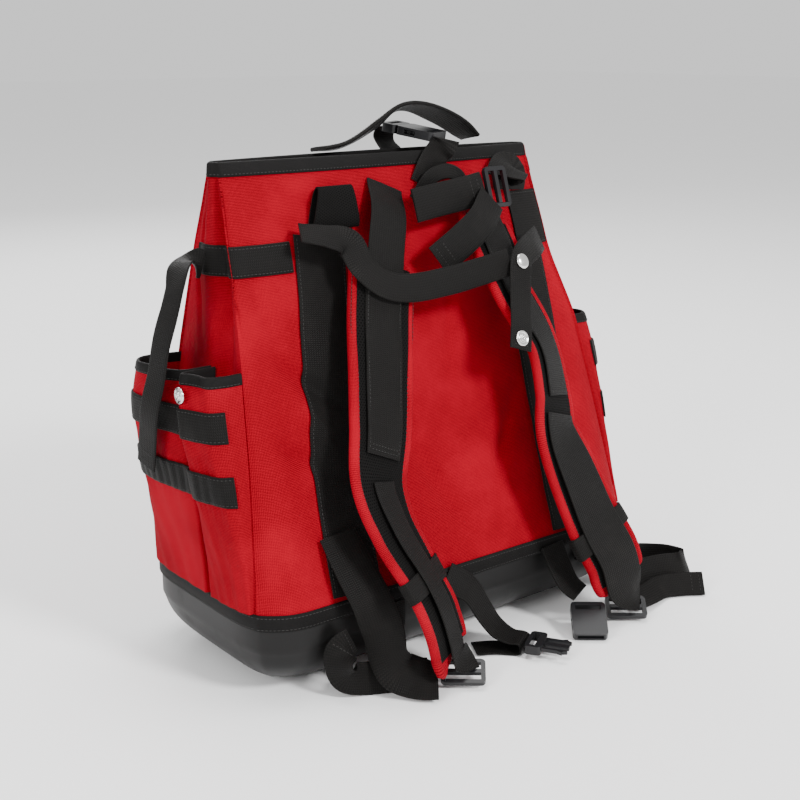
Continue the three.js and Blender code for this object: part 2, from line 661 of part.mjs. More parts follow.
// The whole plan as one loop: harness wall to the right, right side, front wall to the left, left side.
function bodyLoop(z) {
  const front = [...lineAt("front", z)].reverse();
  const left = [...lineAt("left", z)].reverse();
  return [lineAt("back", z), lineAt("right", z), front, left].map((line) => line.slice(0, -1)).flat();
}

const wideCount = wideColumns.length - 1;
const sideCount = sideColumns.length - 1;
const loopStarts = {
  back: [0, wideCount],
  right: [wideCount, sideCount],
  front: [wideCount + sideCount, wideCount],
  left: [2 * wideCount + sideCount, sideCount],
};

// A cloth wall of the body between two seams, its edges half a seam gap short of them.
function bodyPanel(wall) {
  const [start, count] = loopStarts[wall];
  const outer = [];
  const inner = [];
  levelsBetween(panelLow, panelHigh).forEach((z) => {
    const loop = bodyLoop(z);
    const inside = offsetPath(loop, clothWall, true);
    const pick = (path) => {
      const row = Array.from({ length: count + 1 }, (_, i) => path[(start + i) % path.length].clone());
      const pull = (end, next) => {
        const towards = new THREE.Vector2().subVectors(next, end).normalize();
        end.addScaledVector(towards, seamGap / 2);
      };
      pull(row[0], row[1]);
      pull(row[count], row[count - 1]);
      return row.map((point) => lift3(point, z));
    };
    outer.push(pick(loop));
    inner.push(pick(inside));
  });
  return wallFromGrids(outer, inner);
}

addPiece("back_panel", bodyPanel("back"), redCloth);
addPiece("front_panel", bodyPanel("front"), redCloth);
addPiece("left_side_panel", bodyPanel("left"), redCloth);
addPiece("right_side_panel", bodyPanel("right"), redCloth);

// Moulded tray: one skin outside, one inside, from the middle of its underside to the middle of its floor.
function trayGeometry() {
  const rim = bodyLoop(trayHeight);
  const wallRing = (inset, z) => offsetPath(rim, inset, true).map((point) => lift3(point, z));
  const footRing = (inset, z) => {
    const [wide, deep] = [1 - inset / (bagWidth / 2), 1 - inset / (bagDepth / 2)];
    return rim.map((point) => new THREE.Vector3(point.x * wide, point.y * deep, z));
  };
  const foot = footProfile.map((row) => footRing(row.inset * trayFootInset, row.up * trayFootRise));
  return solidFromRings([
    ...foot,
    wallRing(0, trayHeight),
    wallRing(trayWall, trayHeight),
    wallRing(trayWall, trayFootRise),
    footRing(trayFootInset, trayFloor),
  ]);
}
addPiece("base_tray", trayGeometry(), blackTray);

// A bound edge round the whole body: its outer and its inner face, offset from the body's.
function boundRing(low, high, outwards, inwards) {
  const grid = (inset) => levelsBetween(low, high).map((z) => {
    return offsetPath(bodyLoop(z), inset, true).map((point) => lift3(point, z));
  });
  return wallFromGrids(grid(-outwards), grid(inwards), true);
}

// The tray's bound edge lies outside both the tray and the cloth, and bends where they meet.
const trayBindingLow = trayHeight - trayBindingHeight / 2;
const trayBindingHigh = trayHeight + trayBindingHeight / 2;
const baseBinding = boundRing(trayBindingLow, trayBindingHigh, clear + bindingWall, -clear);
const rimBinding = boundRing(bagHeight - mouthBindingHeight, bagHeight, bindingWall, clothWall);
addPiece("base_binding", baseBinding, blackWebbing);
addPiece("rim_binding", rimBinding, blackWebbing);

// A strip that follows an open path in plan between two heights, given how far its faces stand off the path.
function stripAlong(pathAt, low, high, outside, inside, side) {
  const grid = (distance) => levelsBetween(low, high).map((z) => {
    return offsetPath(pathAt(z), -side * distance, false).map((point) => lift3(point, z));
  });
  return wallFromGrids(grid(outside), grid(inside));
}

// Side pockets

const pocketLow = trayBindingHigh + clear;

function pocketPoint(side, place, z) {
  const isEnd = place.out === 0;
  const flare = readTable(pocketProfile, "up", (z - pocketLow) / (pocketTop - pocketLow), "flare");
  const tuck = place.along > 1 ? pocketTuck * (1 - Math.min(1, pocketUntuck * flare)) : 0;
  const point = wallAt(side < 0 ? "left" : "right", place.along - tuck, z);
  const reach = side < 0 ? leftPocketFlare : rightPocketFlare;
  const stand = isEnd ? pocketEndGap : clear + pocketWall + pocketFootGap + place.out * flare * reach;
  point.x += side * stand;
  return point;
}

const bandPlan = [...rearPocketPlan.slice(1, -1), ...frontPocketPlan.slice(3, -1)];

[-1, 1].forEach((side) => {
  const name = side < 0 ? "left" : "right";
  [["rear", rearPocketPlan], ["front", frontPocketPlan]].forEach(([which, places]) => {
    const pathAt = (z) => places.map((place) => pocketPoint(side, place, z));
    const bindingLow = pocketTop - pocketBindingHeight;
    const cloth = stripAlong(pathAt, pocketLow, bindingLow - clear, 0, -pocketWall, side);
    addPiece(`${name}_${which}_pocket`, cloth, redCloth);
    const binding = stripAlong(pathAt, bindingLow, pocketTop, clear, -pocketWall - clear, side);
    addPiece(`${name}_${which}_pocket_binding`, binding, blackWebbing);
  });
  [["upper", upperPocketBand], ["lower", lowerPocketBand]].forEach(([which, low]) => {
    const pathAt = (z) => bandPlan.map((place) => pocketPoint(side, place, z));
    const strip = stripAlong(pathAt, low, low + pocketBandWidth, clear + webbing, clear, side);
    addPiece(`${name}_${which}_pocket_band`, strip, blackWebbing);
  });
});

// Bands round the body

// Places along a band: from the harness wall, through every column on the way, round the corner to its end.
function bandPlaces(band) {
  const wall = band.side < 0 ? "left" : "right";
  const onBack = wideColumns.filter((across) => across > band.back && across < 1);
  const onSide = sideColumns.filter((across) => across < band.end);
  return [
    ...[band.back, ...onBack].map((across) => ["back", band.side * across]),
    ...[...onSide, band.end].map((across) => [wall, across]),
  ];
}
sideBands.forEach((band) => {
  const places = bandPlaces(band);
  const pathAt = (z) => places.map(([wall, across]) => wallAt(wall, across, z));
  const low = band.low * bagHeight;
  const strip = stripAlong(pathAt, low, low + band.width, clear + webbing, clear, band.side);
  addPiece(band.name, strip, blackWebbing);
});

// Webbing sewn flat on the harness wall

function smoothRoute(rows, place) {
  return new THREE.CatmullRomCurve3(rows.map(place), false, "centripetal");
}

// The harness wall's outer face, with the tray's wall continuing straight down below it.
function harnessFace(x, z) {
  const line = lineAt("back", z);
  return wallAt("back", x / Math.abs((x < 0 ? line[0] : line[line.length - 1]).x), z).y;
}

function sewnWebbing(rows, width) {
  const placeOf = (row) => new THREE.Vector3((row.across * bagWidth) / 2, 0, row.up * bagHeight);
  const route = smoothRoute(rows, placeOf);
  const columns = [-0.5, -0.25, 0, 0.25, 0.5];
  const grid = (out) => Array.from({ length: sewnSteps + 1 }, (_, i) => {
    const point = route.getPoint(i / sewnSteps);
    const tangent = route.getTangent(i / sewnSteps);
    const sideways = new THREE.Vector3(tangent.z, 0, -tangent.x);
    return columns.map((share) => {
      const place = point.clone().addScaledVector(sideways, share * width);
      return new THREE.Vector3(place.x, harnessFace(place.x, place.z) - out, place.z);
    });
  });
  return wallFromGrids(grid(2 * clear + webbing), grid(2 * clear));
}
addPiece("left_back_webbing", sewnWebbing(leftBackWebbingRoute, backWebbingWidth), blackWebbing);
addPiece("right_back_webbing", sewnWebbing(rightBackWebbingRoute, backWebbingWidth), blackWebbing);

// Straps that run free of the walls

// A strap's middle line cut into stations, with the way its face looks and the way its width runs at each.
// Between two stations everything runs straight.
class StrapRoute {
  constructor(rows, steps) {
    this.rows = rows;
    this.steps = steps;
    this.line = smoothRoute(rows, (row) => {
      const z = row.up * bagHeight;
      return new THREE.Vector3((row.across * bagWidth) / 2, planAt(shareAt(z)).back - row.out * bagDepth, z);
    });
    this.frames = Array.from({ length: steps + 1 }, (_, i) => this.frameAt(i / steps));
  }

  frameAt(share) {
    const at = share * (this.rows.length - 1);
    const i = Math.min(Math.floor(at), this.rows.length - 2);
    const angle = (column) => {
      const value = THREE.MathUtils.lerp(this.rows[i][column], this.rows[i + 1][column], at - i);
      return THREE.MathUtils.degToRad(value);
    };
    const [turn, tilt] = [angle("turn"), angle("tilt")];
    const level = Math.cos(tilt);
    const look = new THREE.Vector3(Math.sin(turn) * level, -Math.cos(turn) * level, Math.sin(tilt));
    const along = this.line.getTangent(share);
    const across = new THREE.Vector3().crossVectors(look, along).normalize();
    const face = new THREE.Vector3().crossVectors(along, across).normalize();
    return { middle: this.line.getPoint(share), along, across, face };
  }

  place(station, sideways, outwards) {
    const i = THREE.MathUtils.clamp(Math.floor(station), 0, this.steps - 1);
    const ends = [this.frames[i], this.frames[i + 1]].map((frame) => {
      const point = frame.middle.clone().addScaledVector(frame.across, sideways);
      return point.addScaledVector(frame.face, outwards);
    });
    return ends[0].lerp(ends[1], station - i);
  }

  get stationLength() {
    return this.line.getLength() / this.steps;
  }
}

// A flat strap along a stretch of a route, its inner face lifted off the route's line.
// It can rise to its lift from a lower start, and narrow to its end from the pad's last station.
function strap(route, sizes) {
  const { width, wall = webbing, lift = 0, from = 0, to = route.steps } = sizes;
  const { startLift = lift, endWidth = width } = sizes;
  const padEnd = route.steps - padTailStations;
  const rings = [];
  for (let station = from; station <= to; station += 1) {
    const risen = Math.min(1, (station - from) / riseStations);
    const low = THREE.MathUtils.lerp(startLift, lift, risen);
    const narrowed = Math.max(0, (station - padEnd) / padTailStations);
    const half = THREE.MathUtils.lerp(width, endWidth, narrowed) / 2;
    rings.push([
      route.place(station, -half, low),
      route.place(station, half, low),
      route.place(station, half, low + wall),
      route.place(station, -half, low + wall),
    ]);
  }
  return solidFromRings(rings);
}

// A padded strap: a flat bar with its long edges eased off. Its face has edges where its webbing has them.
function pad(route, from, webbingWidthAt) {
  const half = padWidth / 2;
  const rings = [];
  for (let station = from; station <= route.steps - padTailStations; station += 1) {
    const corner = (sideways, outwards) => route.place(station, sideways, outwards);
    const edge = webbingWidthAt(station) / 2;
    rings.push([
      corner(-half + padEase, padWall),
      corner(-edge, padWall),
      corner(edge, padWall),
      corner(half - padEase, padWall),
      corner(half, padWall - padEase),
      corner(half, padEase),
      corner(half - padEase, 0),
      corner(-half + padEase, 0),
      corner(-half, padEase),
      corner(-half, padWall - padEase),
    ]);
  }
  return solidFromRings(rings);
}

// A keeper: a loop of webbing round the pad.
function keeper(route, middle) {
  const reach = keeperWidth / 2 / route.stationLength;
  const loopAt = (station, grow) => {
    const half = padWidth / 2 + grow;
    const [low, high] = [-grow, padWall + grow];
    const shape = [[-half, low], [0, low], [half, low], [half, high], [0, high], [-half, high]];
    return shape.map(([sideways, outwards]) => route.place(station, sideways, outwards));
  };
  const section = [
    loopAt(middle - reach, keeperGap),
    loopAt(middle - reach, keeperGap + webbing),
    loopAt(middle + reach, keeperGap + webbing),
    loopAt(middle + reach, keeperGap),
  ];
  return solidFromRings(section[0].map((_, corner) => section.map((loop) => loop[corner])), true);
}

// A flattened tube of webbing, open at both ends, the lower edge of its first end longer than the upper.
function sleeve(route) {
  const loopAt = (station, grow) => {
    const half = sleeveHeight / 2;
    const [low, high] = [webbing - grow, webbing + sleeveGap + grow];
    const flat = sleeveFlat * half;
    const shape = [[-half, 0.5], [-flat, 0], [flat, 0], [half, 0.5], [flat, 1], [-flat, 1]];
    return shape.map(([sideways, share]) => {
      const stretched = sideways + (Math.sign(sideways) * grow);
      const point = route.place(station, stretched, THREE.MathUtils.lerp(low, high, share));
      const slant = station === 0 ? sleeveSlant * (0.5 + sideways / sleeveHeight) : 0;
      return point.add(new THREE.Vector3(slant, 0, 0));
    });
  };
  const section = [
    loopAt(0, 0),
    loopAt(0, webbing),
    loopAt(route.steps, webbing),
    loopAt(route.steps, 0),
  ];
  return solidFromRings(section[0].map((_, corner) => section.map((loop) => loop[corner])), true);
}

const leftPad = new StrapRoute(leftPadRoute, 24);
const rightPad = new StrapRoute(rightPadRoute, 20);
const faceLift = padWall + clear;
const overKeeperLift = padWall + keeperGap + webbing + clear;

const leftWidthAt = (station) => (station <= leftSplit ? padWebbingWidth : padLowerWebbingWidth);
const rightWidthAt = (station) => (station <= rightSplit ? padWebbingWidth : rightLowerWebbingWidth);
addPiece("left_shoulder_pad", pad(leftPad, leftPadStart, leftWidthAt), redCloth);
addPiece("right_shoulder_pad", pad(rightPad, 0, rightWidthAt), redCloth);
const overKeeper = { startLift: faceLift, lift: overKeeperLift, endWidth: lockWebbingWidth };
const leftLower = { ...overKeeper, width: padLowerWebbingWidth, from: leftSplit + 1 };
const rightLower = { ...overKeeper, width: rightLowerWebbingWidth, from: rightSplit + 1 };
const padStraps = [
  ["left_pad_webbing", leftPad, { width: padWebbingWidth, startLift: clear, lift: faceLift, to: leftSplit }],
  ["left_pad_lower_webbing", leftPad, leftLower],
  ["right_pad_webbing", rightPad, { width: padWebbingWidth, lift: faceLift, to: rightSplit }],
  ["right_pad_lower_webbing", rightPad, rightLower],
];
padStraps.forEach(([name, route, sizes]) => addPiece(name, strap(route, sizes), blackWebbing));
addPiece("left_pad_keeper", keeper(leftPad, leftKeeperStation), blackWebbing);
addPiece("right_pad_keeper", keeper(rightPad, rightKeeperStation), blackWebbing);
addPiece("yoke_sleeve", sleeve(new StrapRoute(yokeSleeveRoute, 2)), blackWebbing);

const sternum = new StrapRoute(sternumRoute, 18);
const sternumTab = new StrapRoute(sternumTabRoute, 12);
const freeStraps = [
  ["yoke_webbing", new StrapRoute(yokeWebbingRoute, 8), { width: yokeWidth }],
  ["harness_tail", new StrapRoute(harnessTailRoute, 6), { width: tailWidth }],
  ["harness_anchor", new StrapRoute(harnessAnchorRoute, 8), { width: anchorWidth }],
  ["sternum_strap", sternum, { width: sternumWidth }],
  ["sternum_tab", sternumTab, { width: tabWidth }],
  ["closure_strap", new StrapRoute(closureStrapRoute, 10), { width: closureWidth }],
  ["closure_anchor", new StrapRoute(closureAnchorRoute, 8), { width: closureAnchorWidth }],
  ["closure_front_strap", new StrapRoute(closureFrontRoute, 6), { width: closureWidth }],
  ["carry_handle", new StrapRoute(handleRoute, 16), { width: handleWidth, wall: handleWall }],
  ["left_adjust_strap", new StrapRoute(leftAdjustRoute, 24), { width: adjustWidth }],
  ["left_adjust_tail", new StrapRoute(leftTailRoute, 14), { width: leftTailWidth }],
  ["right_adjust_strap", new StrapRoute(rightAdjustRoute, 27), { width: adjustWidth }],
  ["right_adjust_tail", new StrapRoute(rightTailRoute, 8), { width: rightTailWidth }],
  ["left_waist_strap", new StrapRoute(leftWaistRoute, 27), { width: waistWidth }],
  ["right_waist_strap", new StrapRoute(rightWaistRoute, 8), { width: waistWidth }],
  ["left_hanging_strap", new StrapRoute(hangingStrapRoute, 18), { width: hangingStrapWidth }],
];
freeStraps.forEach(([name, route, sizes]) => addPiece(name, strap(route, sizes), blackWebbing));

// Small pieces sewn on

const tabColumns = [sideTabStart, ...sideColumns.slice(1, sideHalfColumns)];
const rightTab = (z) => tabColumns.map((across) => wallAt("right", across, z));
const sideTabHigh = panelHigh - clear;
const sideTabLow = sideTabHigh - sideTabHeight;
const sideTab = stripAlong(rightTab, sideTabLow, sideTabHigh, 2 * clear + webbing, 2 * clear, 1);
addPiece("right_side_tab", sideTab, blackWebbing);

const baseTab = new THREE.BoxGeometry(baseTabWidth, webbing, baseTabHeight);
const baseTabX = (baseTabAcross * bagWidth) / 2;
const baseTabZ = trayBindingLow - clear - baseTabHeight / 2;
baseTab.translate(baseTabX, -bagDepth / 2 - clear - webbing / 2, baseTabZ);
addPiece("base_tab", baseTab, blackWebbing);

// Stiff fittings. Each is made with its length along X, its face looking along Z, and then set in place.

function solidOf(geometry) {
  const plain = geometry.clone();
  plain.deleteAttribute("normal");
  plain.deleteAttribute("uv");
  const merged = mergeVertices(plain);
  const vertProperties = new Float32Array(merged.getAttribute("position").array);
  const triVerts = new Uint32Array(merged.getIndex().array);
  return new kernel.Manifold(new kernel.Mesh({ numProp: 3, vertProperties, triVerts }));
}

function geometryOf(solid) {
  const mesh = solid.getMesh();
  const geometry = new THREE.BufferGeometry();
  geometry.setAttribute("position", new THREE.Float32BufferAttribute(Array.from(mesh.vertProperties), 3));
  geometry.setIndex(Array.from(mesh.triVerts));
  return geometry;
}

function block(x, y, z) {
  const geometry = new THREE.BoxGeometry(x[1] - x[0], y[1] - y[0], z[1] - z[0]);
  geometry.translate((x[0] + x[1]) / 2, (y[0] + y[1]) / 2, (z[0] + z[1]) / 2);
  return solidOf(geometry);
}

function roundedPlate(low, high, width, wall, round) {
  const half = width / 2;
  const corners = [[high, -half, -1, 1], [high, half, -1, -1], [low, half, 1, -1], [low, -half, 1, 1]];
  const shape = new THREE.Shape();
  shape.moveTo(high - round, -half);
  corners.forEach(([x, y, inX, inY], i) => {
    const start = -Math.PI / 2 + (i * Math.PI) / 2;
    shape.absarc(x + inX * round, y + inY * round, round, start, start + Math.PI / 2, false);
  });
  const cut = { depth: wall, bevelEnabled: false, curveSegments: cornerSegments };
  return new THREE.ExtrudeGeometry(shape, cut);
}

function socketGeometry() {
  const half = buckleWidth / 2;
  const cavity = half - buckleSide;
  const core = [buckleSkin, buckleWall - buckleSkin];
  const through = [-clear, buckleWall + clear];
  const slot = [buckleBar, buckleBar + buckleSlot];
  const windowSpan = [windowStart, windowStart + windowLength];
  const solid = solidOf(roundedPlate(0, socketLength, buckleWidth, buckleWall, buckleRound))
    .subtract(block(slot, [-cavity, cavity], through))
    .subtract(block([socketBlock, socketLength + clear], [-cavity, cavity], core))
    .subtract(block(windowSpan, [-half - clear, half + clear], core));
  return geometryOf(solid);
}

// The plug's bar ends at X = 0, where its webbing meets it, and its prongs reach towards -X.
function plugGeometry() {
  const half = buckleWidth / 2;
  const cavity = half - buckleSide;
  const slotLow = plugBarLength - buckleBar - buckleSlot;
  const prongs = [buckleSkin + clear, buckleWall - buckleSkin - clear];
  const through = [-clear, buckleWall + clear];
  const armOut = cavity - clear;
  const armIn = armOut - armWidth;
  const barbLow = windowStart - socketLength + 2 * clear;
  const arm = (side) => {
    const outline = [
      [buckleBar, armIn],
      [-prongLength, armIn],
      [-prongLength, armIn + armWidth / 2],
      [barbLow, armOut],
      [barbLow + clear, armOut + barbReach],
      [barbLow + windowLength / 2, armOut],
      [buckleBar, armOut],
    ];
    const shape = new THREE.Shape(outline.map(([x, y]) => new THREE.Vector2(x, side * y)));
    const geometry = new THREE.ExtrudeGeometry(shape, { depth: prongs[1] - prongs[0], bevelEnabled: false });
    return solidOf(geometry.translate(0, 0, prongs[0]));
  };
  const solid = solidOf(roundedPlate(0, plugBarLength, buckleWidth, buckleWall, buckleRound))
    .subtract(block([slotLow, slotLow + buckleSlot], [-cavity, cavity], through))
    .add(block([-prongLength, buckleBar], [-tongueWidth / 2, tongueWidth / 2], prongs))
    .add(arm(-1))
    .add(arm(1));
  return geometryOf(solid).translate(-plugBarLength, 0, 0);
}

function ladderLockGeometry() {
  const slotHalf = ladderLockWidth / 2 - ladderLockRim;
  const through = [-clear, ladderLockWall + clear];
  const slotLength = (ladderLockLength - 3 * ladderLockRim) / 2;
  const firstSlot = [ladderLockRim, ladderLockRim + slotLength];
  const secondSlot = firstSlot.map((x) => x + slotLength + ladderLockRim);
  const solid = solidOf(roundedPlate(0, ladderLockLength, ladderLockWidth, ladderLockWall, ladderLockRim))
    .subtract(block(firstSlot, [-slotHalf, slotHalf], through))
    .subtract(block(secondSlot, [-slotHalf, slotHalf], through));
  return geometryOf(solid);
}

function settle(geometry, place) {
  const radians = THREE.MathUtils.degToRad;
  geometry.rotateX(radians(place.roll)).rotateY(-radians(place.climb)).rotateZ(radians(place.heading));
  return geometry.translate((place.across * bagWidth) / 2, place.fore * bagDepth, place.up * bagHeight);
}

const matedPlug = plugGeometry().translate(socketLength + clear + plugBarLength, 0, 0);
addPiece("closure_buckle_socket", settle(socketGeometry(), fittings.closureBuckle), blackPlastic);
addPiece("closure_buckle_plug", settle(matedPlug, fittings.closureBuckle), blackPlastic);
addPiece("waist_buckle_plug", settle(plugGeometry(), fittings.waistPlug), blackPlastic);
addPiece("waist_buckle_socket", settle(socketGeometry(), fittings.waistSocket), blackPlastic);
addPiece("left_pad_ladder_lock", settle(ladderLockGeometry(), fittings.leftLadderLock), blackPlastic);
addPiece("right_pad_ladder_lock", settle(ladderLockGeometry(), fittings.rightLadderLock), blackPlastic);
addPiece("harness_ladder_lock", settle(ladderLockGeometry(), fittings.harnessLadderLock), blackPlastic);

// A plain domed snap that stands on a face at a point and looks the way the face does.
function snapGeometry(point, look) {
  const profile = [[0, 0], [1, 0], [1, 0.45], [0.7, 0.9], [0, 1]];
  const outline = profile.map(([out, up]) => new THREE.Vector2(out * snapRadius, up * snapHeight));
  const geometry = new THREE.LatheGeometry(outline, snapSides);
  const turn = new THREE.Quaternion().setFromUnitVectors(new THREE.Vector3(0, 1, 0), look);
  return geometry.applyQuaternion(turn).translate(point.x, point.y, point.z);
}

function snapOn(route, share) {
  const station = share * route.steps;
  const look = route.frames[Math.round(station)].face;
  return snapGeometry(route.place(Math.round(station), 0, webbing + clear), look);
}
addPiece("sternum_snap_cap", snapOn(sternumTab, snapPlaces.cap), snapMetal);
addPiece("sternum_snap_stud", snapOn(sternumTab, snapPlaces.stud), snapMetal);

const pocketSnapZ = pocketTop - pocketSnapDrop;
const pocketSnapPoint = lift3(pocketPoint(-1, pocketSnapPlace, pocketSnapZ), pocketSnapZ);
pocketSnapPoint.x -= pocketSnapGap;
addPiece("left_pocket_snap", snapGeometry(pocketSnapPoint, new THREE.Vector3(-1, 0, 0)), snapMetal);

export default backpack;
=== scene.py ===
"""Looks of a tool backpack that stands on its moulded tray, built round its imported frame.

Metres in Blender. Sizes and tables are in millimetres or in shares of the bag's own sizes, and the
row frame is the frame's: +Z up, +X to the right when the harness side is faced, the harness on -Y.
"""

import json
import logging
import math
from dataclasses import dataclass, field
from enum import Enum
from functools import partial
from typing import Any, Callable, Dict, List, NamedTuple, Optional, Sequence, Tuple, Union

import bmesh
import bpy
import numpy as np
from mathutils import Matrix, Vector

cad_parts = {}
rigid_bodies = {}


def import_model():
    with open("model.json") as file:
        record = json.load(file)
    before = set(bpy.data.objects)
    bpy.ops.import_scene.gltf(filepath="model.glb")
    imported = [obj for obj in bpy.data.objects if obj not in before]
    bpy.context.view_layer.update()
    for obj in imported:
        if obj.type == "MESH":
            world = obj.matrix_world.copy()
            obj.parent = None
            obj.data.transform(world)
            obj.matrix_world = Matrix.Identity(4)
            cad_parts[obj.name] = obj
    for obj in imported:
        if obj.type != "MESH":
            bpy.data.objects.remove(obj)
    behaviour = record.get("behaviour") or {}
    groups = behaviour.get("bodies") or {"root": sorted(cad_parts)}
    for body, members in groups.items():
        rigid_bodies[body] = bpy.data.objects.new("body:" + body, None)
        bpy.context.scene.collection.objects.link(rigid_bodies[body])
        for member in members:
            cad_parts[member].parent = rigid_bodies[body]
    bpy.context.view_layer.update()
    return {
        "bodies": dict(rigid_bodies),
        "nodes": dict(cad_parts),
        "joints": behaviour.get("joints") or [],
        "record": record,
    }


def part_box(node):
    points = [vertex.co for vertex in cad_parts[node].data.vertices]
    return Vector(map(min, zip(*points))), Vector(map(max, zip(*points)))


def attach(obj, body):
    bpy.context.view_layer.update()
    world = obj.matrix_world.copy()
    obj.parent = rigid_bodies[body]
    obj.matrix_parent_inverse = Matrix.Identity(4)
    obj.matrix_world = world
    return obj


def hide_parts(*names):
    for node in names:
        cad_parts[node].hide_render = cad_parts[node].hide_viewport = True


LOG = logging.getLogger("backpack")
MM = 0.001
WEAVE_MAP = "Weave"

Grid = np.ndarray
Number = Union[int, float]
Colour = Tuple[float, float, float]


class Wall(Enum):
    """The four cloth walls of the bag."""

    BACK = "back"
    RIGHT = "right"
    FRONT = "front"
    LEFT = "left"


class Slot(Enum):
    """The record's material slots."""

    CLOTH = "red_cloth"
    WEBBING = "black_webbing"
    TRAY = "black_tray"
    METAL = "snap_metal"


# Shader arithmetic


class Wire:
    """A shader socket that takes part in Python arithmetic."""

    def __init__(self, graph: "Graph", socket: bpy.types.NodeSocket) -> None:
        """Keeps the socket and the graph it belongs to."""
        self.graph = graph
        self.socket = socket

    def math(self, operation: str, *others: "Term") -> "Wire":
        """Adds a Math node fed by this wire."""
        inputs = {i: term for i, term in enumerate((self, *others))}
        return self.graph.wire("ShaderNodeMath", {"operation": operation}, inputs)

    def __add__(self, other: "Term") -> "Wire":
        """This plus the other."""
        return self.math("ADD", other)

    def __radd__(self, other: "Term") -> "Wire":
        """The other plus this."""
        return self.math("ADD", other)

    def __sub__(self, other: "Term") -> "Wire":
        """This less the other."""
        return self.math("SUBTRACT", other)

    def __rsub__(self, other: Number) -> "Wire":
        """The other less this."""
        return self.math("MULTIPLY", -1) + other

    def __mul__(self, other: "Term") -> "Wire":
        """This times the other."""
        return self.math("MULTIPLY", other)

    def __rmul__(self, other: "Term") -> "Wire":
        """The other times this."""
        return self.math("MULTIPLY", other)

    def __truediv__(self, other: "Term") -> "Wire":
        """This over the other."""
        return self.math("DIVIDE", other)

    def __rtruediv__(self, other: Number) -> "Wire":
        """The other over this."""
        return self.math("POWER", -1) * other

    def fract(self) -> "Wire":
        """The part after the point."""
        return self.math("FRACT")

    def floor(self) -> "Wire":
        """The whole part."""
        return self.math("FLOOR")

    def absolute(self) -> "Wire":
        """The value without its sign."""
        return self.math("ABSOLUTE")

    def above(self, limit: "Term") -> "Wire":
        """1 where this is above the limit, else 0."""
        return self.math("GREATER_THAN", limit)

    def between(self, low: Number, high: Number) -> "Wire":
        """Rises smoothly from 0 at low to 1 at high."""
        settings = {"interpolation_type": "SMOOTHSTEP"}
        return self.graph.wire("ShaderNodeMapRange", settings, {0: self, 1: low, 2: high})

    def round_rib(self) -> "Wire":
        """A half-round rib for each whole step of this value."""
        offset = self.fract() * 2 - 1
        return 1 - offset * offset


Term = Union[Wire, Number, Tuple[float, ...]]
Sockets = Dict[Union[int, str], Term]


class Graph:
    """The nodes of one material, ending in one Principled shader."""

    def __init__(self, name: str) -> None:
        """Makes the material with an empty graph.

        Args:
            name: the material's name.
        """
        self.material = bpy.data.materials.new(name)
        self.material.use_nodes = True
        self.tree = self.material.node_tree
        self.tree.nodes.clear()

    def node(
        self,
        kind: str,
        settings: Optional[Dict[str, object]] = None,
        inputs: Optional[Sockets] = None,
    ) -> bpy.types.Node:
        """Adds a node, sets it, then feeds its sockets.

        Args:
            kind: the node's Blender type.
            settings: its properties.
            inputs: a value or wire for each socket, by number or name.

        Returns:
            The node.
        """
        made = self.tree.nodes.new(kind)
        for key, value in (settings or {}).items():
            setattr(made, key, value)
        for key, value in (inputs or {}).items():
            if isinstance(value, Wire):
                self.tree.links.new(value.socket, made.inputs[key])
            else:
                made.inputs[key].default_value = value
        return made

    def wire(
        self,
        kind: str,
        settings: Optional[Dict[str, object]] = None,
        inputs: Optional[Sockets] = None,
        output: Union[int, str] = 0,
    ) -> Wire:
        """Adds a node as node() does and returns one of its outputs."""
        return Wire(self, self.node(kind, settings, inputs).outputs[output])

    def weave_place(self) -> Tuple[Wire, Wire]:
        """Where a point lies on the cloth before it was sewn, in millimetres.

        Returns:
            The place across and the place along.
        """
        place = self.wire("ShaderNodeUVMap", {"uv_map": WEAVE_MAP})
        split = self.node("ShaderNodeSeparateXYZ", None, {0: place})
        return Wire(self, split.outputs[0]), Wire(self, split.outputs[1])

    def noise(self, scale: float, detail: float = 2.0, seed: Vector = Vector((0, 0, 0))) -> Wire:
        """Soft noise over the object, in the row frame.

        Args:
            scale: how fine it is, in waves to the metre.
            detail: how many finer layers it has.
            seed: shifts it, so that two noises differ.

        Returns:
            Its value, about 0.5 on average.
        """
        place = self.wire("ShaderNodeTexCoord", None, None, "Object")
        moved = self.wire("ShaderNodeVectorMath", {"operation": "ADD"}, {0: place, 1: tuple(seed)})
        return self.wire("ShaderNodeTexNoise", None, {"Vector": moved, "Scale": scale, "Detail": detail})

    def blend(self, share: Term, first: Union[Wire, Colour], second: Union[Wire, Colour]) -> Wire:
        """Mixes two colours.

        Args:
            share: 0 for the first, 1 for the second.
            first: a colour.
            second: a colour.

        Returns:
            The mixed colour.
        """
        pair = [c if isinstance(c, Wire) else (*c, 1.0) for c in (first, second)]
        inputs = {0: share, 6: pair[0], 7: pair[1]}
        return self.wire("ShaderNodeMix", {"data_type": "RGBA"}, inputs, 2)

    def bump(self, height: Wire, depth: float, strength: float = 1.0, under: Optional[Wire] = None) -> Wire:
        """A normal that stands a height field proud of the surface.

        Args:
            height: the field, from 0 to 1.
            depth: how deep it is, in millimetres.
            strength: how strongly it shows.
            under: a normal that it is added to.

        Returns:
            The bumped normal.
        """
        inputs: Sockets = {"Height": height, "Distance": depth * MM, "Strength": strength}
        if under is not None:
            inputs["Normal"] = under
        return self.wire("ShaderNodeBump", None, inputs)

    def shade(self, inputs: Sockets) -> bpy.types.Material:
        """Ends the graph in a Principled shader.

        Args:
            inputs: a value or wire for each socket that differs from the default.

        Returns:
            The material.
        """
        shader = self.wire("ShaderNodeBsdfPrincipled", None, inputs)
        self.node("ShaderNodeOutputMaterial", None, {0: shader})
        return self.material


